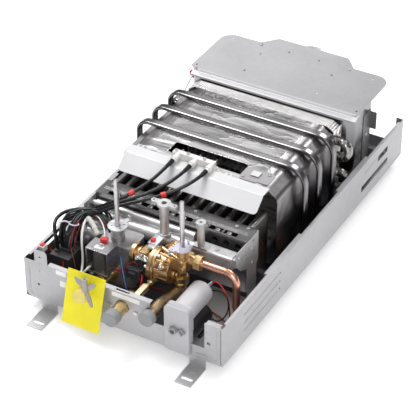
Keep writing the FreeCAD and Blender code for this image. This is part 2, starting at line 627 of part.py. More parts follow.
# ---------------------------------------------------------------- gas valve
BY, BZ = 76.5, 91.0        # barrel between the gas valve and the water valve
PRY, PRZ = 77.5, 85.5      # push rod axis
gv = box(-80, -22, 66, 110, 24, 100)
ed = [e for e in gv.Edges if (e.BoundBox.ZMax - e.BoundBox.ZMin) > 60]
gv = gv.makeFillet(6.0, ed)
gv = fuse(gv, cz(99, 112, POWER_X, SPIN_Y, 11.0), cz(111, 126, POWER_X, SPIN_Y, 8.5), box(-74, -36, 74, 102, T, 25))
gv = gv.cut(cz(92, 130, POWER_X, SPIN_Y, SPIN_R + 0.05))
gv = fuse(gv, cx(-24, -22, BY, BZ, 14))
gv = gv.cut(cx(-60, -20, BY, BZ, 6.0))
gv = gv.cut(cy(60, 80, GX, GZ, 8.0))
SOLX0, SOLX1, SOLY0, SOLY1, SOLZ1 = -84.0, -45.0, 35.0, 64.0, 104.0
scx, scy = (SOLX0 + SOLX1) / 2, (SOLY0 + SOLY1) / 2
shelf = box(-82, -47, 36, 66, 58, 60.5)
gv = fuse(gv, shelf)
gv = gv.cut(cz(50, 66, scx, scy, 4.3))
put("gas_valve_body", gv)

sp = fuse(cz(96, SPIN_TOP - 18, POWER_X, SPIN_Y, SPIN_R), cz(SPIN_TOP - 18, SPIN_TOP, POWER_X, SPIN_Y, SPIN_R - 0.4))
ring = cz(128.3, 130.3, POWER_X, SPIN_Y, 4.6)
sp = fuse(sp, ring)
put("power_spindle", sp)

dp = cz(126, 128, POWER_X, SPIN_Y, 15.5)
lug = box(-4, 4, 12, 24, 126, 128)
lug.rotate(V(0, 0, 0), V(0, 0, 1), -20)
lug.translate(V(POWER_X, SPIN_Y, 0))
dp = fuse(dp, lug)
st = box(-3.2, 3.2, 22.5, 24, 126, 134)
st.rotate(V(0, 0, 0), V(0, 0, 1), -20)
st.translate(V(POWER_X, SPIN_Y, 0))
dp = fuse(dp, st)
dp = dp.cut(cz(120, 130, POWER_X, SPIN_Y, SPIN_R + 0.6))
for a in (35, 145, 215, 325):
    dp = dp.cut(cz(120, 130, POWER_X + 9.5 * math.cos(math.radians(a)), SPIN_Y + 9.5 * math.sin(math.radians(a)), 1.4))
put("spindle_plate", dp)

rg = fuse(cy(93, 107, -106, 86, 19.5), cy(76, 93, -106, 86, 17.0))
rg = rg.makeFillet(6.0, [e for e in rg.Edges if e.BoundBox.YMax < 76.5])
rg = fuse(rg, box(-92, -80, 84, 100, 72, 96), cy(71, 77, -106, 86, 5.0))
rg = rg.cut(gv)
put("regulator_drum", rg)

sf = box(SOLX0, SOLX1, SOLY0, SOLY1, 60.5, SOLZ1).cut(box(SOLX0 + 1.6, SOLX1 - 1.6, SOLY0 - 1, SOLY1 + 1, 62.0, SOLZ1 - 1.6))
sf = sf.cut(cz(55, 63, scx, scy, 4.3))
sf = sf.cut(cz(100, 106, scx, scy, 4.3))
put("solenoid_frame", sf)
sc = fuse(cz(62.0, SOLZ1 - 1.6, scx, scy, 13.5), cz(62.0, 65.0, scx, scy, 14.0), cz(SOLZ1 - 4.6, SOLZ1 - 1.6, scx, scy, 14.0),
          box(SOLX0 + 3, SOLX0 + 10, SOLY0 + 1, SOLY0 + 10, 66, 72))
sc = sc.cut(cz(55, 110, scx, scy, 4.3))
put("solenoid_coil", sc)
spl = fuse(cz(62.0, SOLZ1 + 1.5, scx, scy, 4.25), cz(SOLZ1 + 1.5, SOLZ1 + 4.0, scx, scy, 2.0))
put("solenoid_plunger", spl)

# gas inlet stub, its end cut parallel to the hanging tag
ca, sa = math.cos(TAG_TILT), math.sin(TAG_TILT)
TN = V(0, -ca, sa)                    # outward normal of the tag
TD = V(0, -sa, -ca)                   # down along the tag
T0 = V(-59, -2.2, 88.0)               # top middle of the tag's back face


def tagpt(x, down, out):
    return V(x, T0.y, T0.z) + TD * down + TN * out


gi = fuse(cy(-22, 64, GX, GZ, 13.0), cy(24, 34, GX, GZ, 15.0), hexp((GX, 36.4, GZ), (0, 1, 0), 17.0, 14.0), cy(58, 66, GX, GZ, 15.5))
# half-space in front of the tag's back face, 0.3 mm clear
half = Part.makeBox(140, 160, 60, V(-70, -80, 0))
rot = FreeCAD.Rotation(V(0, 0, 1), TN)
half.Placement = FreeCAD.Placement(tagpt(-62, 47, -0.3), rot)
gi = gi.cut(half)
gi = gi.cut(shelf)
STUD_DOWN = 20.6
SX = -51.8
stud0 = tagpt(SX, STUD_DOWN, -0.3)
lug = box(SX - 6, SX + 6, stud0.y - 6, -0.4, 44, 73).cut(half)
stud = Part.makeCylinder(2.5, 13.0, stud0 - TN * 5.0, TN)
gi = gi.fuse(lug).fuse(stud)
gi = gi.cut(gv)
put("gas_inlet_fitting", gi)

tag = poly([tagpt(-90.2, 0, 0), tagpt(-23.6, -0.6, 0), tagpt(-26.0, 92.0, 0), tagpt(-92.5, 92.0, 0)], TN * 1.0)
tag = tag.cut(Part.makeCylinder(2.58, 20, stud0 - TN * 5.0, TN))
put("gas_tag", tag)
td = Part.makeCylinder(12.0, 6.5, tagpt(-63.0, 38.5, 1.0), TN)
td = td.makeFillet(1.2, [e for e in td.Edges if e.Length > 60 and (e.CenterOfMass - tagpt(-63.0, 38.5, 1.0)).dot(TN) > 6.0])
put("tag_disc", td)


def wing(angle, length, half):
    """One leaf-shaped wing on the nut, rising outwards; angle in the tag's plane from +X towards up."""
    a = math.radians(angle)
    U = V(1, 0, 0) * math.cos(a) + (TD * -1.0) * math.sin(a)
    Wd = V(1, 0, 0) * (-math.sin(a)) + (TD * -1.0) * math.cos(a)
    o = stud0 + TN * 8.4
    side = [(2.5, 2.0), (length * 0.30, half * 0.84), (length * 0.52, half), (length * 0.74, half * 0.92), (length * 0.92, half * 0.55), (length, 0.9)]
    pts = [(u, w) for u, w in side] + [(u, -w) for u, w in reversed(side)]
    return poly([o + U * u + Wd * w + TN * (0.13 * u) for u, w in pts], TN * 2.6)


nut = Part.makeCylinder(5.0, 11.2, stud0 + TN * 1.9, TN)
nut = fuse(nut, wing(140, 24.0, 3.9), wing(38, 22.5, 3.9), wing(-55, 29.0, 3.4))
pb = stud0 + TN * 10.8
post = Part.makeCylinder(4.3, 20.0, pb, V(0, 0, 1))
post = post.makeFillet(1.6, [e for e in post.Edges if e.BoundBox.ZMin > pb.z + 19.5])
post = post.cut(Part.makeCylinder(1.6, 3.0, pb + V(0, 0, 18.4), V(0, 0, 1)))
nut = fuse(nut, post)
nut = nut.cut(Part.makeCylinder(2.55, 13.6, stud0 - TN * 3.0, TN))
put("wing_nut", nut)

# ---------------------------------------------------------------- water valve
DY, DZ = 78.0, 82.0
body = fuse(cx(20, 48, DY, DZ, 24.0), box(48, 72, 70, 98, 88, 110), box(30, 49, 72, 96, 92, 107.5))
body = fuse(body, cx(71, 80, 88, 103, 9.5), cz(109, 126, FLOW_X, SPIN_Y, 9.0), cz(70, 89, 56.3, 84, 7.8), cy(62, 73, 43.5, 102, 5.6))
bar0, bar1 = V(25.0, 84.0, 109.5), V(65.5, 69.5, 108.5)
body = body.fuse(Part.makeCylinder(3.4, (bar1 - bar0).Length, bar0, bar1 - bar0)).fuse(ball(65.5, 69.5, 108.5, 3.4)).fuse(ball(25.0, 84.0, 109.5, 3.4))
body = body.cut(cy(60, 68, 43.5, 102, 3.2))
body = fuse(body, cy(94, 111, 30.4, 100, 8.5))
body = fuse(body, cy(97.5, 100, 30.4, 100, 9.8), cy(103, 105.5, 30.4, 100, 9.8))
body = fuse(body, cy(64, 72, 66, 96, 5.5))
body = cut(body, cx(17, 34, DY, DZ, 17.0))
body = body.cut(cz(100, 130, FLOW_X, SPIN_Y, SPIN_R + 0.05))
body = body.cut(cz(50, 70.0, 56, 84, 12.9))
body = body.cut(cz(60, 95, 56, 84, 5.0))
body = body.cut(cx(66, 82, 88, 103, 5.5))
valve_bolts = []
for k in range(5):
    a = math.radians(72 * k + 18)
    valve_bolts.append((DY + 25.6 * math.cos(a), DZ + 25.6 * math.sin(a)))
rim = cx(20, 24, DY, DZ, 28.0).cut(cx(19, 25, DY, DZ, 20.0))
body = fuse(body, rim)
for (y, z) in valve_bolts:
    body = body.cut(cx(10, 24, y, z, 1.85))
body = body.removeSplitter()
put("water_valve_body", body)

dia = cx(19.0, 20.0, DY, DZ, 28.0)
for (y, z) in valve_bolts:
    dia = dia.cut(cx(10, 26, y, z, 1.85))
put("diaphragm", dia)

cov = fuse(cx(13, 19, DY, DZ, 28.0), cx(6.5, 13, PRY, PRZ, 15.0), cx(-16, 14, BY, BZ, 10.0), cx(-22, -16, BY, BZ, 16.0), cx(-12, -9, BY, BZ, 12.0))
cov = fuse(cov, box(-6, 6, 66, 86, 96, 104))
cov = cov.cut(cx(14, 20, DY, DZ, 16.0))
cov = cov.cut(cx(8.5, 15, PRY, PRZ, 12.5))
cov = cov.cut(cx(-20, 12, PRY, PRZ, 2.55))
cov = cov.cut(cx(-24, -14, BY, BZ, 6.0))
for (y, z) in valve_bolts:
    cov = cov.cut(cx(0, 20, y, z, 1.85))
put("water_valve_cover", cov)

rod = fuse(cx(-14, 17.5, PRY, PRZ, 2.5), cx(12.0, 17.5, PRY, PRZ, 12.0))
put("push_rod", rod)

fs = fuse(cz(104, SPIN_TOP - 18, FLOW_X, SPIN_Y, SPIN_R), cz(SPIN_TOP - 18, SPIN_TOP, FLOW_X, SPIN_Y, SPIN_R - 0.4))
fs = fuse(fs, cz(128.4, 130.4, FLOW_X, SPIN_Y, 4.6))
put("flow_spindle", fs)

cl = cz(126, 127.6, FLOW_X, SPIN_Y, 13.0)
cl = fuse(cl, box(FLOW_X - 16, FLOW_X - 6, SPIN_Y - 15, SPIN_Y - 5, 126, 127.6), box(FLOW_X - 16, FLOW_X - 14.6, SPIN_Y - 15, SPIN_Y - 5, 117, 127))
cl = cl.cut(cz(120, 130, FLOW_X, SPIN_Y, 7.5))
cl = fuse(cl, cz(126, 127.6, FLOW_X, SPIN_Y, 9.0))
cl = cl.cut(cz(120, 130, FLOW_X, SPIN_Y, SPIN_R + 0.6))
wall = cz(127.0, 135.0, FLOW_X, SPIN_Y, 12.4).cut(cz(126, 136, FLOW_X, SPIN_Y, 11.0)).common(box(FLOW_X + 2, FLOW_X + 15, SPIN_Y - 13, SPIN_Y + 13, 126, 136))
cl = cl.fuse(wall)
cl = cl.cut(cz(120, 130, FLOW_X - 11, SPIN_Y - 11.5, 1.6))
put("spindle_clip", cl)

ms = fuse(box(-22, 2, 50, 62, 60, 78), box(-19, 1, 62, 70, 72, 76))
ms = fuse(ms, box(-16, -4, 46, 50, 64, 74))
msb = fuse(box(-22, 6, 53, 63.6, 78, 79.4), box(-14, 2, 62.2, 63.6, 79.4, 90))
ms = fuse(ms, msb)
ms = ms.cut(cx(-30, 30, BY, BZ, 10.05))
ms = ms.cut(cx(6.0, 30, PRY, PRZ, 15.8))
put("microswitch", ms)

DRZ = 67.0
dr = fuse(cy(38, 50.2, 22, DRZ, 3.2), box(17.5, 26.5, 2.5, 38, DRZ - 4.5, DRZ + 4.5))
dr = dr.fuse(cy(48, 60, 22, DRZ, 5.0)).cut(body).cut(cov).cut(dia)
dr = max(dr.Solids, key=lambda s: s.Volume)
put("drain_valve", dr)

ca0, ca1 = V(56, 84, 43.5), V(CXX, 24, CZ)
cold = fuse(cz(43.5, 57.5, 56, 84, 9.0), ball(56, 84, 43.5, 9.6), Part.makeCylinder(9.6, (ca1 - ca0).Length, ca0, ca1 - ca0), ball(CXX, 24, CZ, 9.6), cy(-10, 24, CXX, CZ, 9.6))
cold = cold.cut(cy(-12, 26, CXX, CZ, 7.0))
cold = cold.cut(cz(46, 60, 56, 84, 5.0))
put("cold_inlet_pipe", cold)
cap = cy(-18.5, -6, CXX, CZ, 12.5).cut(cy(-16, 0, CXX, CZ, 9.65))
capc = cap.makeFillet(2.0, [e for e in cap.Edges if e.BoundBox.YMax < -18.0])
put("cold_cap", capc)

hot = route("hot_outlet_pipe", [(-146, EX_Y, EX_Z[0]), (-163.5, EX_Y, EX_Z[0]), (-163.5, 425, 10.5), (-163.5, 25, 10.5), (-7, 25, 10.5), (HX, 25, 30), (HX, 25, 44)], 5.5, frac=0.45, fixed=12.0)
hot2 = fuse(cy(-32, 27, HX, HZ, 10.8), ball(HX, 27, HZ, 10.8), cy(2.2, 7, HX, HZ, 13.0))
hot2 = hot2.cut(cy(-34, 20, HX, HZ, 7.8))
hotp = fuse(hot, hot2)
hotp = hotp.cut(serp)
put("hot_outlet_pipe", hotp)
hc = cy(-38.5, -22.5, HX, HZ, 12.8).cut(cy(-36, 0, HX, HZ, 10.85))
hc = hc.makeFillet(2.0, [e for e in hc.Edges if e.BoundBox.YMax < -38.0])
put("hot_cap", hc)

cop = route("copper_pipe", [(82, 88, 103), (149.5, 88, 103), (149.5, 88, 22), (160.5, 130, 22), (160.5, 301, 22)], 6.0, frac=0.45, fixed=19.0)
nutc = hexp((80, 88, 103), (1, 0, 0), 12.5, 11.0)
nutc = nutc.cut(cop).cut(body)
nutu = hexp((56, 84, 57.5), (0, 0, 1), 12.5, 12.5)
nutu = fuse(nutu, cz(57.5, 60, 56, 84, 12.0)).cut(cz(50, 75, 56, 84, 5.0))
put("copper_pipe", cop)
put("union_nuts", nutc, nutu)
stub = fuse(cy(301, 313, 160.5, 22, 6.0), box(148, 160.5, 303, 313, 17, 27))
coil = fuse(coil, stub)
put("coil_tube", coil)

# ---------------------------------------------------------------- controls and battery box
cb = box(-155, -120, 40, 96, T, 61)
cb = fuse(cb, box(-151, -145, 48, 74, 61, 65), box(-138, -124, 80, 92, 61, 66), box(-156.5, -155, 44, 60, 30, 50))
put("control_box", cb)

BXC = 99.5
bb_ = box(78.3, 121, -1, 8, 3, 87)
ed = [e for e in bb_.Edges if (e.BoundBox.YMax - e.BoundBox.YMin) > 8 and e.BoundBox.ZMin > 80]
bb_ = bb_.makeFillet(8.0, ed)
bb_ = fuse(bb_, cy(8, 74, BXC, 66, 18.6), cy(8, 74, BXC, 24, 18.6), box(96, 103, 8, 74, 40, 50))
e2 = [e for e in bb_.Edges if e.BoundBox.YMin > 73.5 and (e.BoundBox.ZMax - e.BoundBox.ZMin) > 20]
try:
    bb2 = bb_.makeFillet(4.0, e2)
    if bb2.isValid():
        bb_ = bb2
except Exception as ex:
    print("battery box fillet", ex)
bb_ = cut(bb_, cy(-2, 72, BXC, 66, 17.2), cy(-2, 72, BXC, 24, 17.2), box(82, 117, -2, 3, 40, 50))
bb_ = fuse(bb_, box(84, 115, 40, 60, T, 8).cut(cy(30, 74, BXC, 24, 18.6)))
HGY, HGZ = -4.0, 3.2       # hinge line at the foot of the front
for (xa, xb) in ((80.0, 84.6), (114.4, 119.0)):
    bb_ = fuse(bb_, cx(xa, xb, HGY, HGZ, 1.6), box(xa, xb, HGY, -0.5, HGZ - 1.6, HGZ + 1.6))
bb_ = fuse(bb_, cx(80.0, 119.0, HGY, HGZ, 1.0))
put("battery_box", bb_)

lid = box(78.3, 121, -7.0, -1.3, 5.2, 87)
ed = [e for e in lid.Edges if (e.BoundBox.YMax - e.BoundBox.YMin) > 4 and e.BoundBox.ZMin > 80]
lid = lid.makeFillet(8.0, ed)
ed = [e for e in lid.Edges if e.BoundBox.YMax < -6.9 and e.BoundBox.ZMax > 20]
try:
    l2 = lid.makeFillet(1.6, ed)
    if l2.isValid():
        lid = l2
except Exception as ex:
    print("lid fillet", ex)
lid = fuse(lid, cx(85.0, 114.0, HGY, HGZ, 1.9), box(85.0, 114.0, HGY - 1.9, HGY + 1.9, HGZ, 6.0))
lid = lid.cut(cx(80, 120, HGY, HGZ, 1.06))
LZ, LXC = 46.0, 96.0
lid = lid.cut(cy(-8, 0, LXC, LZ, 4.05))
put("battery_lid", lid)

lt = fuse(cy(-8.6, -1.5, LXC, LZ, 4.0), cy(-13.2, -7.2, LXC, LZ, 6.4))
lt = lt.cut(cy(-14, -8.4, LXC, LZ, 4.0))
nose = poly([V(LXC + 8, -11.6, LZ + 1.5), V(LXC + 13.5, -11.6, LZ + 8.5), V(LXC + 20.5, -11.6, LZ + 1.5), V(LXC + 14, -11.6, LZ - 5.5)], V(0, 4.3, 0))
nose = nose.cut(poly([V(LXC + 11, -12, LZ + 4), V(LXC + 13, -12, LZ + 6.2), V(LXC + 18, -12, LZ - 0.5), V(LXC + 16, -12, LZ - 2.7)], V(0, 3.2, 0)))
lt = lt.fuse(nose).fuse(box(LXC + 5, LXC + 11, -10.0, -7.3, LZ - 1.5, LZ + 3.5).cut(cy(-14, -8.4, LXC, LZ, 4.0))).removeSplitter()
put("battery_latch", lt)

cells = []
for z in (66.0, 24.0):
    c = fuse(cy(8.5, 69.5, BXC, z, 16.7), cy(69.5, 71.9, BXC, z, 4.5), cy(0.0, 8.5, BXC, z, 7.0))
    cells.append(c)
put("battery_cells", *cells)

# ---------------------------------------------------------------- leads
LR = 2.1
leads = []
EY = 223.95
leads.append(route("lead_a", [(-40, EY, 164.4), (-40, 206, 164.4), (-50, 178, 152), (-66, 153, 141), (-85, 132, 131), (-105, 120, 120),
                              (-130, 109, 109), (-150, 94, 99), (-157, 74, 94), (-148.5, 54, 88), (-148.5, 54, 65.05)], LR))
leads.append(route("lead_b", [(-9, EY, 164.4), (-9, 205, 164.4), (-26, 176, 151), (-50, 150, 141), (-80, 127, 131), (-102, 114, 119.5),
                              (-128, 103, 108), (-146, 90, 97), (-150.5, 76, 90), (-148.5, 66, 80), (-148.5, 66, 65.05)], LR))
leads.append(route("lead_c", [(20, EY, 164.4), (20, 203, 164.4), (-4, 172, 151), (-36, 144, 142), (-74, 121, 131.5), (-99, 107.5, 119.5),
                              (-120, 99, 109), (-131, 90, 98), (-131, 86, 82), (-131, 86, 66.05)], LR))
put("ignition_leads", *leads)

wires = []
wires.append(route("wire_valve", [(-127, 88, 66.05), (-127, 88, 77), (-125.8, 67, 83.5), (-104, 50, 77), (-103, 28, 71), (-96, 15, 69), (-85, 14, 69), (-77.5, 24, 69),
                                  (-77.5, 35.95, 69)], 1.2))
wires.append(route("wire_switch", [(-10, 45.95, 69), (-10, 34, 69), (-22, 21, 65), (-54, 19, 62), (-94, 21, 61), (-116, 20, 58), (-130, 24, 54), (-130, 39.95, 54)], 1.2))
for k in (0, 1):
    d = 2.8 * k
    wires.append(route("wire_batt_%d" % k, [(98 + d, 74.05, 45), (98 + d, 86 + d, 45), (90 + d, 98 + d, 34), (70, 105 + d, 16), (36, 107.5 + d, 6.5), (-6, 108.8 + d, 6),
                                            (-50, 107.5 + d, 6.5), (-86, 108.8 + d, 6), (-104, 102 + d, 10), (-107.5, 88 + d, 25), (-119.95, 88 + d, 25)], 1.0))
put("wire_harness", *wires)

# ---------------------------------------------------------------- fasteners
fs_ = []


def screw_z(x, y, ztop, depth=2.6, r=1.6, hr=2.6, hh=1.6):
    h = cz(ztop, ztop + hh, x, y, hr)
    h = h.cut(box(x - 0.4, x + 0.4, y - hr, y + hr, ztop + hh - 0.6, ztop + hh + 1))
    return fuse(h, cz(ztop - depth, ztop, x, y, r))


for (x, y) in br_rivets:
    fs_.append(fuse(cz(-1.5, T, x, y, 2.0), cz(T, T + 1.2, x, y, 3.4)))
for (x, y) in wall_rivets:
    fs_.append(fuse(cz(0, 2 * T, x, y, 2.0), cz(2 * T, 2 * T + 1.2, x, y, 3.4)))
for (x, y) in hood_screw_pts:
    if y > 495:
        fs_.append(screw_z(x, y, 164))
for (x, y) in brace_screws:
    fs_.append(screw_z(x, y, 165.2, depth=1.2))
for (x, z) in panel_screws:
    fs_.append(fuse(cy(-1.9, 0, x, z, 3.3), cy(0, T, x, z, 1.95)))
for (x, y) in shell_holes[:2]:
    fs_.append(screw_z(x, y, 158))
for (x, y) in shell_holes[2:]:
    fs_.append(screw_z(x, y, 158.2))
for (x, y) in eb_screws:
    fs_.append(screw_z(x, y, 169, depth=13, hr=3.0, hh=2.2))
for (x, y) in frame_screws:
    fs_.append(screw_z(x, y, FR_Z, depth=1.0))
for (x, y) in man_screw:
    fs_.append(screw_z(x, y, 108, depth=6, hr=3.4, hh=2.4))
for s in (-1, 1):
    for (y, z) in side_screw:
        x0 = 135.2 if s > 0 else -135.2
        a, b = (132.5, 135.2) if s > 0 else (-135.2, -132.5)
        h0, h1 = (135.2, 137.0) if s > 0 else (-137.0, -135.2)
        fs_.append(fuse(cx(a, b, y, z, 1.6), cx(h0, h1, y, z, 2.8)))
    a, b = (150.2, 153.0) if s > 0 else (-153.0, -150.2)
    h0, h1 = (153.0, 154.6) if s > 0 else (-154.6, -153.0)
    fs_.append(fuse(cx(a, b, 530, 100, 1.6), cx(h0, h1, 530, 100, 2.8)))
for (y, z) in valve_bolts:
    fs_.append(fuse(cx(12.0, 23.5, y, z, 1.8), cx(10.0, 13.0, y, z, 2.9)))
put("fasteners", *fs_)

print(len(NODES), "nodes")
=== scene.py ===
import math
import random

import bmesh
import bpy
from mathutils import Matrix, Vector


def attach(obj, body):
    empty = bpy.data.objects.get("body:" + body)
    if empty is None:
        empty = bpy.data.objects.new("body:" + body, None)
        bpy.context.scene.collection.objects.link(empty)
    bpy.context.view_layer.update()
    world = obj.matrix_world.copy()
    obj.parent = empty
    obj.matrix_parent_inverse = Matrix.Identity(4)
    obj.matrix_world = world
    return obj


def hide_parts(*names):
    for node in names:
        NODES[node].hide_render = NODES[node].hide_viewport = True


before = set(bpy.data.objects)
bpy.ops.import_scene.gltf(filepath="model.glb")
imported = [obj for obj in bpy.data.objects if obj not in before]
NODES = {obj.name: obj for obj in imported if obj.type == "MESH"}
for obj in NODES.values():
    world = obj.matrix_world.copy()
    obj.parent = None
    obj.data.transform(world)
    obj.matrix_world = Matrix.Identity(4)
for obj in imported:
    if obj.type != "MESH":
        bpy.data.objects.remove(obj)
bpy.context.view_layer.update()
scene = bpy.context.scene
random.seed(11)


def P(x, y, z):
    """Chassis millimetres to the row frame in metres."""
    return Vector((x / 1000.0, (y - 320.0) / 1000.0, (z + 17.5) / 1000.0))


# ---------------------------------------------------------------- camera
cam_data = bpy.data.cameras.new("camera")
cam = bpy.data.objects.new("camera", cam_data)
scene.collection.objects.link(cam)
cam_data.sensor_width = 36.0
cam_data.sensor_height = 36.0
cam_data.lens = 146.8
cam_data.clip_start = 0.05
cam_data.clip_end = 60.0
R = Vector((0.87136, 0.49064, 0.0))
U = Vector((-0.29077, 0.51639, 0.80547))
B = Vector((0.39520, -0.70186, 0.59263))
m = Matrix.Identity(4)
for i in range(3):
    m[i][0], m[i][1], m[i][2] = R[i], U[i], B[i]
m[0][3], m[1][3], m[2][3] = 1.0939, -1.9900, 1.7096
cam.matrix_world = m
scene.camera = cam
scene.view_settings.view_transform = "Standard"
scene.view_settings.look = "None"

# ---------------------------------------------------------------- light
world = bpy.data.worlds.new("studio")
scene.world = world
world.use_nodes = True
wn = world.node_tree
for n in list(wn.nodes):
    wn.nodes.remove(n)
w_out = wn.nodes.new("ShaderNodeOutputWorld")
w_bg = wn.nodes.new("ShaderNodeBackground")
w_tc = wn.nodes.new("ShaderNodeTexCoord")
w_sep = wn.nodes.new("ShaderNodeSeparateXYZ")
w_ramp = wn.nodes.new("ShaderNodeValToRGB")
wn.links.new(w_tc.outputs["Generated"], w_sep.inputs[0])
wn.links.new(w_sep.outputs["Z"], w_ramp.inputs[0])
wn.links.new(w_ramp.outputs[0], w_bg.inputs["Color"])
wn.links.new(w_bg.outputs[0], w_out.inputs["Surface"])
cr = w_ramp.color_ramp
cr.elements[0].position, cr.elements[0].color = 0.0, (0.66, 0.66, 0.67, 1)
cr.elements[1].position, cr.elements[1].color = 1.0, (1.0, 1.0, 1.0, 1)
for pos, v in ((0.05, 0.42), (0.12, 0.20), (0.40, 0.17), (0.54, 0.46), (0.66, 0.92), (0.80, 1.0)):
    e = cr.elements.new(pos)
    e.color = (v, v, v * 1.01, 1)
w_bg.inputs["Strength"].default_value = 0.88


def area(name, loc, target, size, power, size_y=None, col=(1, 1, 1)):
    d = bpy.data.lights.new(name, "AREA")
    d.energy = power
    d.color = col
    d.shape = "RECTANGLE" if size_y else "SQUARE"
    d.size = size
    if size_y:
        d.size_y = size_y
    o = bpy.data.objects.new(name, d)
    scene.collection.objects.link(o)
    o.location = loc
    o.rotation_euler = (Vector(target) - Vector(loc)).to_track_quat("-Z", "Y").to_euler()
    return o


area("key", (-1.2, 0.3, 2.2), (0, 0, 0.1), 1.1, 46)
area("fill", (1.6, -2.1, 1.3), (0, -0.1, 0.1), 1.3, 26)
area("rim", (0.3, 2.3, 1.9), (0, 0.1, 0.1), 1.0, 26, 0.6)

# ---------------------------------------------------------------- node helpers


class M:
    """A procedural material under construction."""

    def __init__(self, name):
        self.m = bpy.data.materials.new(name)
        self.m.use_nodes = True
        self.t = self.m.node_tree
        for n in list(self.t.nodes):
            self.t.nodes.remove(n)
        self.out = self.t.nodes.new("ShaderNodeOutputMaterial")
        self.b = self.t.nodes.new("ShaderNodeBsdfPrincipled")
        self.t.links.new(self.b.outputs[0], self.out.inputs["Surface"])
        self.tc = self.t.nodes.new("ShaderNodeTexCoord")
        self.co = self.tc.outputs["Object"]

    def link(self, a, b):
        self.t.links.new(a, b)

    def set(self, **kw):
        for k, v in kw.items():
            self.b.inputs[k.replace("_", " ")].default_value = v
        return self

    def mapping(self, scale=(1, 1, 1), loc=(0, 0, 0), rot=(0, 0, 0)):
        n = self.t.nodes.new("ShaderNodeMapping")
        n.inputs["Scale"].default_value = scale
        n.inputs["Location"].default_value = loc
        n.inputs["Rotation"].default_value = rot
        self.link(self.co, n.inputs["Vector"])
        return n.outputs[0]

    def noise(self, scale, detail=3.0, rough=0.55, vec=None, dist=0.0):
        n = self.t.nodes.new("ShaderNodeTexNoise")
        n.inputs["Scale"].default_value = scale
        n.inputs["Detail"].default_value = detail
        n.inputs["Roughness"].default_value = rough
        n.inputs["Distortion"].default_value = dist
        self.link(vec or self.co, n.inputs["Vector"])
        return n.outputs["Fac"]

    def voronoi(self, scale, feature="F1", vec=None, out="Distance", rnd=1.0):
        n = self.t.nodes.new("ShaderNodeTexVoronoi")
        n.feature = feature
        n.inputs["Scale"].default_value = scale
        n.inputs["Randomness"].default_value = rnd
        self.link(vec or self.co, n.inputs["Vector"])
        return n.outputs[out]

    def wave(self, scale, axis="X", dist=0.0, vec=None, profile="SIN", detail=2.0):
        n = self.t.nodes.new("ShaderNodeTexWave")
        n.wave_type = "BANDS"
        n.bands_direction = axis
        n.wave_profile = profile
        n.inputs["Scale"].default_value = scale
        n.inputs["Distortion"].default_value = dist
        n.inputs["Detail"].default_value = detail
        self.link(vec or self.co, n.inputs["Vector"])
        return n.outputs["Fac"]

    def ramp(self, fac, stops, interp="LINEAR"):
        n = self.t.nodes.new("ShaderNodeValToRGB")
        n.color_ramp.interpolation = interp
        el = n.color_ramp.elements
        while len(el) > 1:
            el.remove(el[-1])
        for i, (p, c) in enumerate(stops):
            c = (c, c, c, 1) if not isinstance(c, (tuple, list)) else (*c[:3], 1)
            if i == 0:
                el[0].position, el[0].color = p, c
            else:
                e = el.new(p)
                e.color = c
        self.link(fac, n.inputs[0])
        return n.outputs[0]

    def mix(self, fac, a, b, blend="MIX"):
        n = self.t.nodes.new("ShaderNodeMix")
        n.data_type = "RGBA"
        n.blend_type = blend
        for k, v in ((0, fac), (6, a), (7, b)):
            sock = n.inputs[k]
            if isinstance(v, (int, float)):
                sock.default_value = v if k == 0 else (v, v, v, 1)
            elif isinstance(v, (tuple, list)):
                sock.default_value = (*v[:3], 1)
            else:
                self.link(v, sock)
        return n.outputs[2]

    def math(self, op, a, b=0.0, c=None, clamp=False):
        n = self.t.nodes.new("ShaderNodeMath")
        n.operation = op
        n.use_clamp = clamp
        vals = [a, b] + ([c] if c is not None else [])
        for i, v in enumerate(vals):
            if isinstance(v, (int, float)):
                n.inputs[i].default_value = v
            else:
                self.link(v, n.inputs[i])
        return n.outputs[0]

    def xyz(self, vec=None):
        n = self.t.nodes.new("ShaderNodeSeparateXYZ")
        self.link(vec or self.co, n.inputs[0])
        return n.outputs

    def normal(self):
        """The face's own direction in the object's frame."""
        return self.xyz(self.tc.outputs["Normal"])

    def edge(self, radius=0.0008, lo=0.80, hi=0.97):
        """1 on edges, 0 on flats."""
        bv = self.t.nodes.new("ShaderNodeBevel")
        bv.samples = 4
        bv.inputs["Radius"].default_value = radius
        g = self.t.nodes.new("ShaderNodeNewGeometry")
        d = self.t.nodes.new("ShaderNodeVectorMath")
        d.operation = "DOT_PRODUCT"
        self.link(bv.outputs[0], d.inputs[0])
        self.link(g.outputs["Normal"], d.inputs[1])
        return self.ramp(d.outputs["Value"], [(lo, 1.0), (hi, 0.0)])

    def bump(self, *layers, soften=0.0):
        """layers: (height socket, strength, distance in metres)."""
        prev = None
        if soften:
            bv = self.t.nodes.new("ShaderNodeBevel")
            bv.samples = 4
            bv.inputs["Radius"].default_value = soften
            prev = bv.outputs[0]
        for h, s, d in layers:
            n = self.t.nodes.new("ShaderNodeBump")
            n.inputs["Strength"].default_value = s
            n.inputs["Distance"].default_value = d
            self.link(h, n.inputs["Height"])
            if prev is not None:
                self.link(prev, n.inputs["Normal"])
            prev = n.outputs[0]
        self.link(prev, self.b.inputs["Normal"])
        return self

    def colour(self, sock):
        self.link(sock, self.b.inputs["Base Color"])
        return self

    def rough(self, sock):
        self.link(sock, self.b.inputs["Roughness"])
        return self


def tint(c, k):
    return tuple(min(1.0, v * k) for v in c)


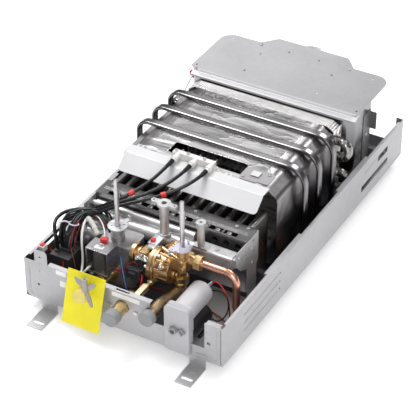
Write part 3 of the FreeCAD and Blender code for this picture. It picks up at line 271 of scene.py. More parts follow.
def sheet_metal(name, col, rough=0.40, metallic=0.75, var=0.10, spangle=0.05, soften=0.0007, brush=None, shaded_inner=None, shaded_inner_axis=None, shaded_inner_sign=1, scratches=0.10, patch=None):
    """Galvanised or plated sheet: faint spangle, cloudy smudges, fine rolling lines and brighter edges; optional
    painted shade on the inward faces and an optional painted light patch.
    """
    a = M(name)
    a.set(Metallic=metallic)
    cloud = a.noise(9.0, 4.0, 0.6, dist=0.4)
    sp = a.voronoi(150.0, out="Color")
    sp_bw = a.t.nodes.new("ShaderNodeRGBToBW")
    a.link(sp, sp_bw.inputs[0])
    fine = a.noise(900.0, 2.0, 0.5)
    base = a.ramp(cloud, [(0.30, tint(col, 1.0 - var)), (0.70, tint(col, 1.0 + var * 0.6))])
    base = a.mix(spangle, base, a.ramp(sp_bw.outputs[0], [(0.0, tint(col, 0.45)), (1.0, tint(col, 1.5))]))
    e = a.edge(soften * 1.3)
    base = a.mix(a.math("MULTIPLY", e, 0.45), base, tint(col, 1.45))
    # Painted shade: faces turned inward get a darker copy of the sheet colour.
    if shaded_inner is not None:
        nn = a.normal()[shaded_inner_axis]
        inner_shade_mask = a.ramp(nn, [(0.35, 0.0), (0.45, 1.0)] if shaded_inner_sign > 0 else [(0.0, 0.0), (1.0, 0.0)])
        if shaded_inner_sign < 0:
            inner_shade_mask = a.ramp(a.math("MULTIPLY", nn, -1.0), [(0.35, 0.0), (0.45, 1.0)])
        inner_shade_col = a.ramp(cloud, [(0.3, tint(shaded_inner, 0.7)), (0.7, tint(shaded_inner, 1.35))])
        base = a.mix(inner_shade_mask, base, inner_shade_col)
    # Painted light: upward faces beyond the given x and before the given y get a lighter patch colour.
    if patch is not None:
        xx, yy, zz = a.xyz()
        lit_patch_mask = a.math("MULTIPLY", a.math("GREATER_THAN", xx, patch[0]), a.math("LESS_THAN", yy, patch[1]))
        lit_patch_mask = a.math("MULTIPLY", lit_patch_mask, a.math("GREATER_THAN", a.normal()[2], 0.4))
        base = a.mix(lit_patch_mask, base, patch[2])
    a.colour(base)
    v = brush or (1.0, 1.0, 1.0)
    lines = a.noise(420.0, 3.0, 0.6, vec=a.mapping(scale=v))
    scr = a.noise(40.0, 6.0, 0.75, vec=a.mapping(scale=(3.0, 0.25, 1.0), rot=(0, 0, 0.5)))
    scrm = a.ramp(scr, [(0.60, 0.0), (0.66, 1.0)])
    rr = a.ramp(cloud, [(0.25, rough * 0.88), (0.75, rough * 1.15)])
    rr = a.mix(0.12, rr, a.ramp(lines, [(0.2, rough * 0.6), (0.8, min(1.0, rough * 1.5))]))
    rr = a.mix(a.math("MULTIPLY", scrm, scratches), rr, min(1.0, rough * 1.8))
    a.rough(rr)
    a.bump((lines, 0.10, 0.0002), (cloud, 0.12, 0.0020), (fine, 0.05, 0.0001), soften=soften)
    return a.m


def foil(name, col, rough=0.14, reflection_streak=1.0, crinkle=0.6, extra=None, pink=0.0, dark=0.55, soften=0.0012, scale=1.0, axis=0):
    """Thin bright tinned copper sheet: long soft dents, sparse sharp creases, painted reflection streaks, painted dark
    reflection patches and patchy shine.
    """
    a = M(name)
    a.set(Metallic=1.0)
    st = [1.0, 1.0, 1.0]
    st[axis] = 0.22
    dent = a.noise(24.0 * scale, 2.5, 0.5, vec=a.mapping(scale=st), dist=0.5)
    st2 = [1.0, 1.0, 1.0]
    st2[axis] = 0.10
    lines = a.noise(95.0 * scale, 3.0, 0.55, vec=a.mapping(scale=st2, rot=(0, 0, 0.05)), dist=0.3)
    warp = a.t.nodes.new("ShaderNodeVectorMath")
    warp.operation = "MULTIPLY_ADD"
    nz = a.t.nodes.new("ShaderNodeTexNoise")
    nz.inputs["Scale"].default_value = 26.0 * scale
    nz.inputs["Detail"].default_value = 3.0
    a.link(a.co, nz.inputs["Vector"])
    a.link(nz.outputs["Color"], warp.inputs[0])
    warp.inputs[1].default_value = (0.045, 0.045, 0.045)
    a.link(a.mapping(scale=[0.55 if k == axis else 1.0 for k in range(3)]), warp.inputs[2])
    cre = a.voronoi(26.0 * scale, "DISTANCE_TO_EDGE", vec=warp.outputs[0])
    crm = a.ramp(cre, [(0.0, 1.0), (0.05, 0.35), (0.16, 0.0)])
    cell = a.voronoi(26.0 * scale, vec=warp.outputs[0], out="Color")
    cbw = a.t.nodes.new("ShaderNodeRGBToBW")
    a.link(cell, cbw.inputs[0])
    fine = a.noise(420.0, 3.0, 0.6)
    patch = a.noise(7.0, 4.0, 0.6, dist=0.5)
    base = a.ramp(patch, [(0.32, tint(col, 0.86)), (0.68, tint(col, 1.08))])
    # Painted reflection: streaks along the sheet lighten and darken the colour.
    base = a.mix(0.75 * reflection_streak, base, a.mix(1.0, base, a.ramp(lines, [(0.34, 0.42), (0.50, 0.95), (0.70, 1.10)]), "MULTIPLY"))
    if pink:
        pk = a.noise(12.0, 3.0, 0.6, dist=1.0)
        base = a.mix(a.math("MULTIPLY", a.ramp(pk, [(0.46, 0.0), (0.62, 1.0)]), pink), base, (0.74, 0.58, 0.52))
    # Painted reflection: dark patches stand for dark surroundings mirrored in the sheet.
    if dark:
        dark_reflection_noise = a.noise(17.0 * scale, 5.0, 0.62, vec=a.mapping(scale=[0.30 if k == axis else 1.0 for k in range(3)]), dist=1.2)
        base = a.mix(a.math("MULTIPLY", a.ramp(dark_reflection_noise, [(0.55, 0.0), (0.64, 1.0)]), dark), base, (0.06, 0.055, 0.06))
    rr = a.ramp(a.noise(16.0, 3.0, 0.6), [(0.3, rough * 0.7), (0.7, rough * 1.8)])
    calm = None
    h = None
    if extra is not None:
        base, h, hs, hd = extra(a, base)
        calm = getattr(a, "calm", None)
    if calm is not None:
        keep = a.math("SUBTRACT", 1.0, a.math("MULTIPLY", calm, 0.85))
        rr = a.mix(calm, rr, (0.36, 0.36, 0.36))
        layers = [(a.math("MULTIPLY", dent, a.math("SUBTRACT", 1.0, a.math("MULTIPLY", calm, 0.5))), 0.75, 0.0075), (a.math("MULTIPLY", cbw.outputs[0], keep), 0.30 * crinkle, 0.0013),
                  (a.math("MULTIPLY", crm, keep), 0.40 * crinkle, 0.0010), (fine, 0.06, 0.0003)]
    else:
        layers = [(dent, 0.75, 0.0075), (cbw.outputs[0], 0.30 * crinkle, 0.0013), (crm, 0.40 * crinkle, 0.0010), (fine, 0.06, 0.0003)]
    if h is not None:
        layers.append((h, hs, hd))
    a.colour(base)
    a.rough(rr)
    a.bump(*layers, soften=soften)
    return a.m


def cast_metal(name, col, rough=0.34, grain=1.0, dirt=0.35, metallic=1.0, soften=0.0012, machined=0.4):
    """Forged or cast metal: orange-peel grain, tarnish in broad patches, edges rubbed bright."""
    a = M(name)
    a.set(Metallic=metallic)
    patch = a.noise(32.0, 4.0, 0.6, dist=0.6)
    grit = a.noise(700.0, 3.0, 0.7)
    mid = a.noise(170.0, 3.0, 0.6)
    base = a.ramp(patch, [(0.25, tint(col, 0.62)), (0.5, col), (0.75, tint(col, 1.18))])
    base = a.mix(a.math("MULTIPLY", a.ramp(mid, [(0.50, 0.0), (0.72, 1.0)]), dirt), base, tint(col, 0.38))
    e = a.edge(soften * 1.2)
    base = a.mix(a.math("MULTIPLY", e, 0.55), base, tint(col, 1.45))
    a.colour(base)
    rr = a.ramp(patch, [(0.2, rough * 0.75), (0.8, rough * 1.35)])
    rr = a.mix(a.math("MULTIPLY", e, machined), rr, rough * 0.5)
    a.rough(rr)
    a.bump((grit, 0.16 * grain, 0.0003), (mid, 0.20 * grain, 0.0007), soften=soften)
    return a.m


def turned(name, col, rough=0.2, axis=2, metallic=1.0, soften=0.0006, lines=1.0):
    """Turned or drawn bright metal with fine rings along the given axis."""
    a = M(name)
    a.set(Metallic=metallic)
    sc = [0.04, 0.04, 0.04]
    sc[axis] = 1.0
    ring = a.noise(2200.0, 2.0, 0.5, vec=a.mapping(scale=sc))
    patch = a.noise(38.0, 4.0, 0.6, dist=0.4)
    base = a.ramp(patch, [(0.3, tint(col, 0.78)), (0.7, tint(col, 1.1))])
    base = a.mix(0.18, base, a.ramp(ring, [(0.3, tint(col, 0.55)), (0.7, tint(col, 1.3))]))
    e = a.edge(soften * 1.3)
    base = a.mix(a.math("MULTIPLY", e, 0.5), base, tint(col, 1.4))
    a.colour(base)
    a.rough(a.ramp(patch, [(0.25, rough * 0.75), (0.75, rough * 1.4)]))
    a.bump((ring, 0.10 * lines, 0.0002), (patch, 0.06, 0.0008), soften=soften)
    return a.m


def plastic(name, col, rough=0.42, grain=1.0, var=0.08, soften=0.0009, spec=0.5, coat=0.0, sub=0.0, edge_gain=0.25):
    """Moulded plastic or rubber: fine spark grain, slight mottling, softened rubbed edges."""
    a = M(name)
    a.set(Metallic=0.0)
    a.b.inputs["Specular IOR Level"].default_value = spec
    a.b.inputs["Coat Weight"].default_value = coat
    a.b.inputs["Coat Roughness"].default_value = 0.25
    if sub:
        a.b.inputs["Subsurface Weight"].default_value = sub
        a.b.inputs["Subsurface Radius"].default_value = (0.004, 0.004, 0.004)
    patch = a.noise(22.0, 4.0, 0.6, dist=0.3)
    g = a.noise(1500.0, 2.0, 0.6)
    g2 = a.noise(260.0, 3.0, 0.6)
    base = a.ramp(patch, [(0.3, tint(col, 1.0 - var)), (0.7, tint(col, 1.0 + var))])
    e = a.edge(soften * 1.2)
    base = a.mix(a.math("MULTIPLY", e, edge_gain), base, tuple(min(1.0, v * 1.25 + 0.05) for v in col))
    a.colour(base)
    a.rough(a.ramp(g2, [(0.25, rough * 0.85), (0.75, min(1.0, rough * 1.2))]))
    a.bump((g, 0.12 * grain, 0.0002), (g2, 0.10 * grain, 0.0006), soften=soften)
    return a.m


def painted_shade_grade(mat, axis, lo, hi, klo, khi):
    """Painted light and shade: brightness that runs evenly from klo at lo to khi at hi along an axis (metres)."""
    t = mat.node_tree
    bs = [n for n in t.nodes if n.type == "BSDF_PRINCIPLED"][0]
    src = bs.inputs["Base Color"].links[0].from_socket
    tc = t.nodes.new("ShaderNodeTexCoord")
    sp = t.nodes.new("ShaderNodeSeparateXYZ")
    t.links.new(tc.outputs["Object"], sp.inputs[0])
    mr = t.nodes.new("ShaderNodeMapRange")
    mr.inputs["From Min"].default_value, mr.inputs["From Max"].default_value = lo, hi
    mr.inputs["To Min"].default_value, mr.inputs["To Max"].default_value = klo, khi
    t.links.new(sp.outputs[axis], mr.inputs["Value"])
    mx = t.nodes.new("ShaderNodeVectorMath")
    mx.operation = "SCALE"
    t.links.new(src, mx.inputs[0])
    t.links.new(mr.outputs[0], mx.inputs["Scale"])
    t.links.new(mx.outputs[0], bs.inputs["Base Color"])
    return mat


# ---------------------------------------------------------------- materials
GREY = (0.425, 0.42, 0.435)
FLOOR_INNER_SHADE = (0.125, 0.125, 0.135)
m_sheet = sheet_metal("galvanised", GREY, 0.46, 0.55)
# Painted light and shade: the hood plate is brighter towards -x and darker towards +x.
m_hood = painted_shade_grade(sheet_metal("hood_sheet", (0.385, 0.383, 0.392), 0.50, 0.50, var=0.05), 0, -0.16, 0.16, 1.16, 0.84)
# Painted shade: the hood body darkens strongly towards the bottom.
m_hoodbody = painted_shade_grade(sheet_metal("hood_side", (0.40, 0.395, 0.405), 0.25, 0.95, var=0.14, spangle=0.03), 2, 0.080, 0.176, 0.08, 0.66)
# Painted shade: the inner floor is a dark copy of the sheet colour, with a painted light patch beyond x 0.052 and
# before y -0.160.
m_floor_in = sheet_metal("back_sheet", GREY, 0.44, 0.40, shaded_inner=FLOOR_INNER_SHADE, shaded_inner_axis=2, shaded_inner_sign=1, patch=(0.052, -0.160, (0.62, 0.62, 0.63)))
# Painted shade: the inner faces of the side walls and end panel are darker copies of the sheet colour.
m_left = sheet_metal("left_sheet", GREY, 0.46, 0.50, shaded_inner=(0.12, 0.12, 0.13), shaded_inner_axis=0, shaded_inner_sign=1)
m_right = sheet_metal("right_sheet", GREY, 0.46, 0.50, shaded_inner=(0.13, 0.13, 0.14), shaded_inner_axis=0, shaded_inner_sign=-1)
m_end = sheet_metal("end_sheet", GREY, 0.46, 0.50, shaded_inner=(0.20, 0.20, 0.21), shaded_inner_axis=1, shaded_inner_sign=1)
m_bracket = sheet_metal("zinc_plate", (0.47, 0.47, 0.475), 0.40, 0.55, spangle=0.10)
m_sidebr = sheet_metal("burner_cheek", (0.46, 0.455, 0.46), 0.42, 0.60, spangle=0.08)
# Painted shade: the stays are coloured dark because they sit in shade.
m_stay_shaded = sheet_metal("stay_sheet_shaded", (0.16, 0.16, 0.165), 0.46, 0.55)
m_brace = sheet_metal("bright_strip", (0.455, 0.453, 0.463), 0.52, 0.42, var=0.04, spangle=0.02, brush=(0.05, 1, 1))
m_flue = sheet_metal("flue_tube", (0.55, 0.55, 0.56), 0.38, 0.75)
m_shield = sheet_metal("shield_plate", (0.68, 0.68, 0.69), 0.38, 0.35, var=0.03, spangle=0.0, scratches=0.05)
m_access = sheet_metal("access_sheet", (0.34, 0.33, 0.335), 0.60, 0.40)
m_screw = turned("screw_zinc", (0.62, 0.62, 0.62), 0.30)
m_ceramic = plastic("glazed_ceramic", (0.74, 0.73, 0.71), 0.18, 0.5, coat=0.6, sub=0.10)
m_wire_hot = turned("electrode_wire", (0.30, 0.29, 0.28), 0.35)
# Painted light: the frame colour is brightened up to 3.2 times towards the bottom.
m_burn_frame = painted_shade_grade(sheet_metal("aluminised", (0.205, 0.202, 0.205), 0.24, 0.90, spangle=0.05, var=0.22), 2, 0.048, 0.078, 3.2, 1.0)
m_bar = turned("burner_bar", (0.30, 0.285, 0.28), 0.30, axis=1)
m_cast = cast_metal("die_cast_grey", (0.54, 0.535, 0.54), 0.36, 0.7, dirt=0.08, metallic=0.75)
m_cast2 = cast_metal("valve_cast_grey", (0.37, 0.36, 0.365), 0.40, 1.2, dirt=0.20, metallic=0.75)
m_brass = turned("machined_brass", (0.70, 0.52, 0.27), 0.29, axis=1)
m_brass_y = turned("yellow_brass", (0.72, 0.54, 0.26), 0.26, axis=1)
# Painted shade: the forged brass darkens towards the bottom; the dirt patches are separate.
m_forged = painted_shade_grade(cast_metal("forged_brass", (0.58, 0.385, 0.20), 0.33, 1.8, dirt=0.60), 2, 0.072, 0.118, 0.55, 1.04)
m_drain = turned("pale_brass", (0.86, 0.75, 0.50), 0.30, axis=1)
m_bronze = cast_metal("dull_brass_pipe", (0.50, 0.38, 0.24), 0.40, 0.8, dirt=0.40)
m_spindle = turned("turned_steel", (0.55, 0.545, 0.55), 0.30)
m_disc = cast_metal("pale_disc", (0.58, 0.585, 0.60), 0.40, 0.7, dirt=0.25, metallic=0.75)
m_frame_cr = sheet_metal("coil_yoke", (0.45, 0.445, 0.46), 0.26, 0.9, spangle=0.02, brush=(1, 1, 0.05))
m_coil = plastic("coil_black", (0.065, 0.065, 0.067), 0.34, 1.0, coat=0.35)
m_nut = plastic("wing_plastic", (0.33, 0.31, 0.29), 0.34, 0.8, sub=0.05)
m_rubber = plastic("rubber", (0.02, 0.02, 0.022), 0.62, 1.4)
m_capgrey = plastic("grey_cap", (0.23, 0.235, 0.245), 0.52, 1.2, var=0.10)
m_clip = plastic("pale_clip", (0.60, 0.58, 0.68), 0.36, 0.7, sub=0.1)
m_switch = plastic("switch_black", (0.030, 0.030, 0.034), 0.34, 1.0)
m_ctrl = plastic("control_black", (0.036, 0.036, 0.039), 0.42, 1.3)
m_batt2 = plastic("battery_lid_grey", (0.41, 0.405, 0.425), 0.38, 1.0, var=0.05)
m_latch = plastic("latch_grey", (0.26, 0.255, 0.27), 0.36, 1.0, var=0.05)
m_cell = turned("cell_jacket", (0.50, 0.51, 0.53), 0.30, axis=2)
m_copper = turned("bare_copper", (0.72, 0.375, 0.27), 0.27, axis=1, soften=0.0004)
m_lead = plastic("lead_black", (0.006, 0.006, 0.007), 0.26, 0.8, spec=0.38, edge_gain=0.0)
m_sensor = plastic("sensor_red", (0.42, 0.02, 0.06), 0.40, 0.8)
m_label = plastic("blank_label", (0.80, 0.80, 0.80), 0.34, 0.3, var=0.02)
m_slot = plastic("black_slot", (0.010, 0.010, 0.010), 0.6, 0.6)


def battery_plastic():
    """Grey moulding; the lower tube is coloured near black, and the upper tube is lighter as a painted highlight."""
    a = M("battery_grey")
    x, y, z = a.xyz()
    patch = a.noise(22.0, 4.0, 0.6, dist=0.3)
    g = a.noise(1500.0, 2.0, 0.6)
    low = a.math("MULTIPLY", a.math("LESS_THAN", z, 0.0625), a.math("GREATER_THAN", y, -0.3135))
    base = a.ramp(patch, [(0.3, (0.385, 0.380, 0.400)), (0.7, (0.425, 0.420, 0.440))])
    e = a.edge(0.0011)
    base = a.mix(a.math("MULTIPLY", e, 0.25), base, (0.55, 0.55, 0.57))
    # Painted highlight: the upper tube is coloured lighter than the rest of the moulding.
    painted_tube_highlight = a.math("MULTIPLY", a.math("GREATER_THAN", z, 0.0625), a.math("GREATER_THAN", y, -0.3135))
    base = a.mix(painted_tube_highlight, base, a.ramp(patch, [(0.3, (0.49, 0.475, 0.495)), (0.7, (0.56, 0.545, 0.565))]))
    base = a.mix(low, base, a.ramp(patch, [(0.3, (0.018, 0.018, 0.019)), (0.7, (0.028, 0.028, 0.030))]))
    a.colour(base)
    a.rough(a.ramp(a.noise(260.0, 3.0, 0.6), [(0.25, 0.34), (0.75, 0.48)]))
    a.bump((g, 0.12, 0.0002), soften=0.0009)
    return a.m


m_batt = battery_plastic()


def ring_tube():
    """Flattened tinned copper tube: bright crown, with painted dark reflection on the flanks where it lies on the shell
    and on the tube's sides.
    """
    a = M("tinned_ring_tube")
    a.set(Metallic=1.0)
    x, y, z = a.xyz()
    near = None
    for c in (0.308, 0.357, 0.408):
        d = a.math("ABSOLUTE", a.math("SUBTRACT", y, c - 0.320))
        near = d if near is None else a.math("MINIMUM", near, d)
    flank = a.ramp(near, [(0.0, 0.0), (1.0, 1.0)])
    # Painted reflection: the flanks of each turn are coloured dark.
    painted_flank_dark = a.math("MULTIPLY", a.math("SUBTRACT", near, 0.0042), 480.0, clamp=True)
    patch = a.noise(34.0, 4.0, 0.6, vec=a.mapping(scale=(0.3, 1, 1)), dist=0.4)
    base = a.ramp(patch, [(0.3, (0.52, 0.51, 0.51)), (0.7, (0.76, 0.75, 0.75))])
    base = a.mix(a.math("MULTIPLY", painted_flank_dark, 0.82), base, (0.11, 0.105, 0.105))
    # Painted reflection: the tube darkens on the shell's sides.
    painted_side_dark = a.math("MULTIPLY", a.math("SUBTRACT", a.math("ABSOLUTE", x), 0.108), 55.0, clamp=True)
    base = a.mix(a.math("MULTIPLY", painted_side_dark, 0.86), base, (0.12, 0.115, 0.12))
    a.colour(base)
    a.rough(a.ramp(patch, [(0.3, 0.16), (0.7, 0.30)]))
    a.bump((patch, 0.15, 0.0012), (a.noise(500.0, 3.0, 0.6), 0.07, 0.0003), soften=0.0012)
    return a.m


m_tube = ring_tube()


def yellow_card():
    a = M("yellow_card")
    a.b.inputs["Specular IOR Level"].default_value = 0.45
    fib = a.noise(900.0, 4.0, 0.65, vec=a.mapping(scale=(1.0, 1.0, 0.35)))
    cloud = a.noise(30.0, 3.0, 0.6)
    base = a.ramp(cloud, [(0.3, (0.75, 0.655, 0.004)), (0.7, (0.82, 0.735, 0.008))])
    base = a.mix(0.15, base, a.ramp(fib, [(0.3, (0.74, 0.62, 0.004)), (0.7, (0.98, 0.92, 0.05))]))
    a.colour(base)
    a.rough(a.ramp(fib, [(0.3, 0.38), (0.7, 0.55)]))
    a.bump((fib, 0.15, 0.0002), (cloud, 0.12, 0.0015))
    return a.m


def pale_plug():
    a = M("pale_plug")
    cloud = a.noise(90.0, 3.0, 0.6)
    g = a.noise(1400.0, 2.0, 0.6)
    a.colour(a.ramp(cloud, [(0.3, (0.68, 0.56, 0.13)), (0.7, (0.78, 0.66, 0.20))]))
    a.rough(a.ramp(g, [(0.2, 0.45), (0.8, 0.6)]))
    a.bump((g, 0.12, 0.0002), soften=0.0012)
    return a.m


m_tag = yellow_card()
m_plug = pale_plug()


def shell_dots(a, base):
    """Rows of pressed dots on each side of a coil turn, with painted shade in the dots; the sides are smoother and
    darkened with painted shade.
    """
    x, y, z = a.xyz()
    total = None
    for cy_ in (0.308, 0.357, 0.408):
        for s in (-1, 1):
            c = cy_ - 0.320 + s * 0.0118
            d = a.math("ABSOLUTE", a.math("SUBTRACT", y, c))
            band = a.math("LESS_THAN", d, 0.0034)
            total = band if total is None else a.math("MAXIMUM", total, band)
    dots = a.voronoi(400.0, vec=a.mapping(scale=(1, 1, 0.4), rot=(0, 0, 0.6)), rnd=0.0)
    dm = a.ramp(dots, [(0.26, 1.0), (0.40, 0.0)])
    nz = a.normal()[2]
    top = a.math("GREATER_THAN", nz, 0.6)
    hole = a.math("MULTIPLY", a.math("MULTIPLY", dm, total), top)
    ax = a.math("ABSOLUTE", x)
    # Painted shade: the shell sides are darkened, most of all low down; the same mask calms their bumps and roughness.
    side = a.math("MULTIPLY", a.math("SUBTRACT", ax, 0.0985), 85.0, clamp=True)
    a.calm = side
    low = a.math("MULTIPLY", a.math("MULTIPLY", a.math("SUBTRACT", 0.118, z), 22.0, clamp=True), side)
    base = a.mix(a.math("MULTIPLY", side, 0.86), base, (0.15, 0.14, 0.145))
    base = a.mix(a.math("MULTIPLY", low, 0.85), base, (0.035, 0.033, 0.036))
    # Painted shade on the chamfered corners, broken up by noise.
    corner = a.math("MULTIPLY", a.math("GREATER_THAN", a.math("ABSOLUTE", x), 0.1215), a.math("GREATER_THAN", nz, 0.25))
    cn = a.ramp(a.noise(120.0, 3.0, 0.6), [(0.40, 0.25), (0.62, 0.95)])
    base = a.mix(a.math("MULTIPLY", a.math("MULTIPLY", corner, cn), 0.55), base, (0.13, 0.12, 0.125))
    # Painted shade and reflection mark the crumples of the strip.
    strip = a.math("GREATER_THAN", y, 0.1035)
    crumple_shade = a.ramp(a.noise(85.0, 4.0, 0.65, vec=a.mapping(scale=(0.5, 1.2, 1)), dist=1.6), [(0.42, 0.35), (0.52, 1.0), (0.64, 0.25)])
    base = a.mix(a.math("MULTIPLY", strip, 0.8), base, a.mix(1.0, base, crumple_shade, "MULTIPLY"))
    # Painted shade inside the pressed dots.
    base = a.mix(a.math("MULTIPLY", hole, 0.88), base, (0.08, 0.075, 0.08))
    # Painted shade: faces turned inward are coloured near black.
    shaded_inner = a.math("LESS_THAN", a.math("MULTIPLY", a.normal()[0], x), -0.03)
    base = a.mix(shaded_inner, base, (0.006, 0.006, 0.006))
    h = a.math("SUBTRACT", 1.0, hole)
    return base, h, 0.6, 0.0009


def casing_front(a, base):
    """Folded fin edges under the hood show as fine ribs with painted shade in the lines between them, with a crumpled
    strip below them and a painted shadow band under the brace strip.
    """
    x, y, z = a.xyz()
    rib = a.math("MULTIPLY", a.math("GREATER_THAN", y, 0.1205), a.math("GREATER_THAN", a.normal()[2], 0.5))
    w = a.wave(84.0, "X", 0.0)
    # The darker lines between the fin edges are painted shade.
    lines = a.ramp(w, [(0.20, 0.50), (0.55, 1.12)])
    ribcol = a.mix(1.0, a.ramp(a.noise(20.0, 3.0, 0.6), [(0.3, (0.52, 0.505, 0.505)), (0.7, (0.68, 0.665, 0.665))]), lines, "MULTIPLY")
    base = a.mix(rib, base, ribcol)
    # Painted shadow: a dark band on the casing just under the brace strip.
    brace_shadow_band = a.math("MULTIPLY", a.math("GREATER_THAN", y, 0.1418), a.math("GREATER_THAN", a.normal()[2], 0.5))
    base = a.mix(brace_shadow_band, base, (0.012, 0.012, 0.012))
    a.link(a.math("SUBTRACT", 1.0, a.math("MULTIPLY", rib, 0.75)), a.b.inputs["Metallic"])
    h = a.math("MULTIPLY", w, rib)
    return base, h, 0.8, 0.0011


# Painted light: the shell foil is slightly lighter towards +x.
m_shell = painted_shade_grade(foil("shell_foil", (0.95, 0.94, 0.945), 0.18, 0.30, 0.80, extra=shell_dots, pink=0.06, dark=0.36, scale=0.8), 0, -0.12, 0.10, 0.98, 1.04)
m_casing = foil("casing_foil", (0.86, 0.84, 0.83), 0.20, 0.5, 1.1, extra=casing_front, pink=0.40, dark=0.45, scale=1.7)
m_fin = foil("fin_plate", (0.66, 0.63, 0.61), 0.22, 0.5, 0.4, scale=1.6, dark=0.2)
# Painted dark reflection: the bends get a dark base colour and heavy dark patches.
m_extube = foil("bend_tube", (0.36, 0.345, 0.34), 0.18, 0.7, 1.2, scale=2.2, dark=0.75, soften=0.0008, axis=2)

ASSIGN = {
    "back_panel": m_floor_in, "left_side_wall": m_left, "right_side_wall": m_right, "bottom_end_panel": m_end, "top_end_rail": m_sheet,
    "wall_brackets": m_bracket, "hood_front_plate": m_hood, "hood_brace_strip": m_brace, "flue_collar": m_flue, "spill_sensor": m_sensor,
    "hood_body": m_hoodbody, "hood_stays": m_stay_shaded, "combustion_shell": m_shell, "coil_tube": m_tube, "exchanger_casing": m_casing,
    "exchanger_fins": m_fin, "exchanger_tubes": m_extube, "front_shield": m_shield, "access_plate": m_access, "electrode_block": m_ceramic,
    "electrodes": m_wire_hot, "burner_frame": m_burn_frame, "burner_bars": m_bar, "gas_manifold": m_cast, "injectors": m_brass,
    "burner_side_brackets": m_sidebr, "feed_post": m_cast, "gas_valve_body": m_cast2, "power_spindle": m_spindle, "spindle_plate": m_disc,
    "regulator_drum": m_cast2, "solenoid_frame": m_frame_cr, "solenoid_coil": m_coil, "solenoid_plunger": m_spindle,
    "gas_inlet_fitting": m_brass_y, "gas_tag": m_tag, "tag_disc": m_plug, "wing_nut": m_nut, "water_valve_body": m_forged,
    "diaphragm": m_rubber, "water_valve_cover": m_forged, "push_rod": m_spindle, "flow_spindle": m_spindle, "spindle_clip": m_clip,
    "microswitch": m_switch, "drain_valve": m_drain, "cold_inlet_pipe": m_bronze, "cold_cap": m_capgrey, "hot_outlet_pipe": m_brass_y,
    "hot_cap": m_capgrey, "copper_pipe": m_copper, "union_nuts": m_brass, "control_box": m_ctrl, "battery_box": m_batt,
    "battery_lid": m_batt2, "battery_latch": m_latch, "battery_cells": m_cell, "ignition_leads": m_lead, "wire_harness": m_lead,
    "fasteners": m_screw,
}
for name, mt in ASSIGN.items():
    o = NODES[name]
    o.data.materials.clear()
    o.data.materials.append(mt)


# ---------------------------------------------------------------- geometry helpers
def new_obj(name, bm, mat, body="chassis", smooth=True):
    me = bpy.data.meshes.new(name)
    bm.to_mesh(me)
    bm.free()
    if smooth:
        for p in me.polygons:
            p.use_smooth = True
    ob = bpy.data.objects.new(name, me)
    scene.collection.objects.link(ob)
    me.materials.append(mat)
    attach(ob, body)
    return ob


def cord_curve(name, pts, r, mat, body="chassis", radii=None, order=3, res=14):
    """A smooth curve with the given points as its control points, in chassis millimetres."""
    cu = bpy.data.curves.new(name, "CURVE")
    cu.dimensions = "3D"
    cu.bevel_depth = r / 1000.0
    cu.bevel_resolution = 5
    cu.resolution_u = res
    cu.use_fill_caps = True
    sp = cu.splines.new("NURBS")
    sp.points.add(len(pts) - 1)
    for i, p in enumerate(pts):
        q = P(*p)
        sp.points[i].co = (q.x, q.y, q.z, 1.0)
        if radii:
            sp.points[i].radius = radii[i]
    sp.order_u = order
    sp.use_endpoint_u = True
    ob = bpy.data.objects.new(name, cu)
    scene.collection.objects.link(ob)
    cu.materials.append(mat)
    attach(ob, body)
    return ob


# ---------------------------------------------------------------- small helpers for fittings
def spline_pts(pts, n=10):
    """Points on the cord_curve of the same control points, in metres."""
    q = [P(*p) for p in pts]
    out = []
    last = len(q) - 3
    for k in range(len(q) - 2):
        a = q[0] if k == 0 else (q[k] + q[k + 1]) / 2
        c = q[-1] if k == last else (q[k + 1] + q[k + 2]) / 2
        b = q[k + 1]
        for i in range(n + (1 if k == last else 0)):
            t = i / n
            out.append(a * (1 - t) ** 2 + b * (2 * t * (1 - t)) + c * t * t)
    return out


def tube(name, path, radii, mat, body="chassis", seg=20, squash=1.0, up=None):
    """A closed tube swept along path (metres) with one radius (mm) for each point."""
    bm = bmesh.new()
    rings = []
    nrm = None
    for i, p in enumerate(path):
        d = (path[min(i + 1, len(path) - 1)] - path[max(i - 1, 0)]).normalized()
        if nrm is None:
            nrm = (up or (Vector((0, 0, 1)) if abs(d.z) < 0.9 else Vector((1, 0, 0))))
        nrm = (nrm - d * nrm.dot(d)).normalized()
        bi = d.cross(nrm)
        r = radii[i] / 1000.0
        rings.append([bm.verts.new(p + nrm * (math.cos(2 * math.pi * k / seg) * r * squash) + bi * (math.sin(2 * math.pi * k / seg) * r)) for k in range(seg)])
    for a, b in zip(rings, rings[1:]):
        for k in range(seg):
            bm.faces.new((a[k], a[(k + 1) % seg], b[(k + 1) % seg], b[k]))
    bm.faces.new(list(reversed(rings[0])))
    bm.faces.new(rings[-1])
    bmesh.ops.recalc_face_normals(bm, faces=bm.faces)
    return new_obj(name, bm, mat, body, True)


def part_of(path, a, b, n=14):
    """n points of the path between the length fractions a and b."""
    acc = [0.0]
    for u, v in zip(path, path[1:]):
        acc.append(acc[-1] + (v - u).length)
    out = []
    for i in range(n):
        t = (a + (b - a) * i / (n - 1)) * acc[-1]
        k = 0
        while k < len(acc) - 2 and acc[k + 1] < t:
            k += 1
        f = (t - acc[k]) / max(1e-9, acc[k + 1] - acc[k])
        out.append(path[k].lerp(path[k + 1], f))
    return out


def sleeve(name, path, a, b, r, mat, body="chassis"):
    pts = part_of(path, a, b)
    rr = [r * (0.86 if i in (0, len(pts) - 1) else 1.0) for i in range(len(pts))]
    return tube(name, pts, rr, mat, body)


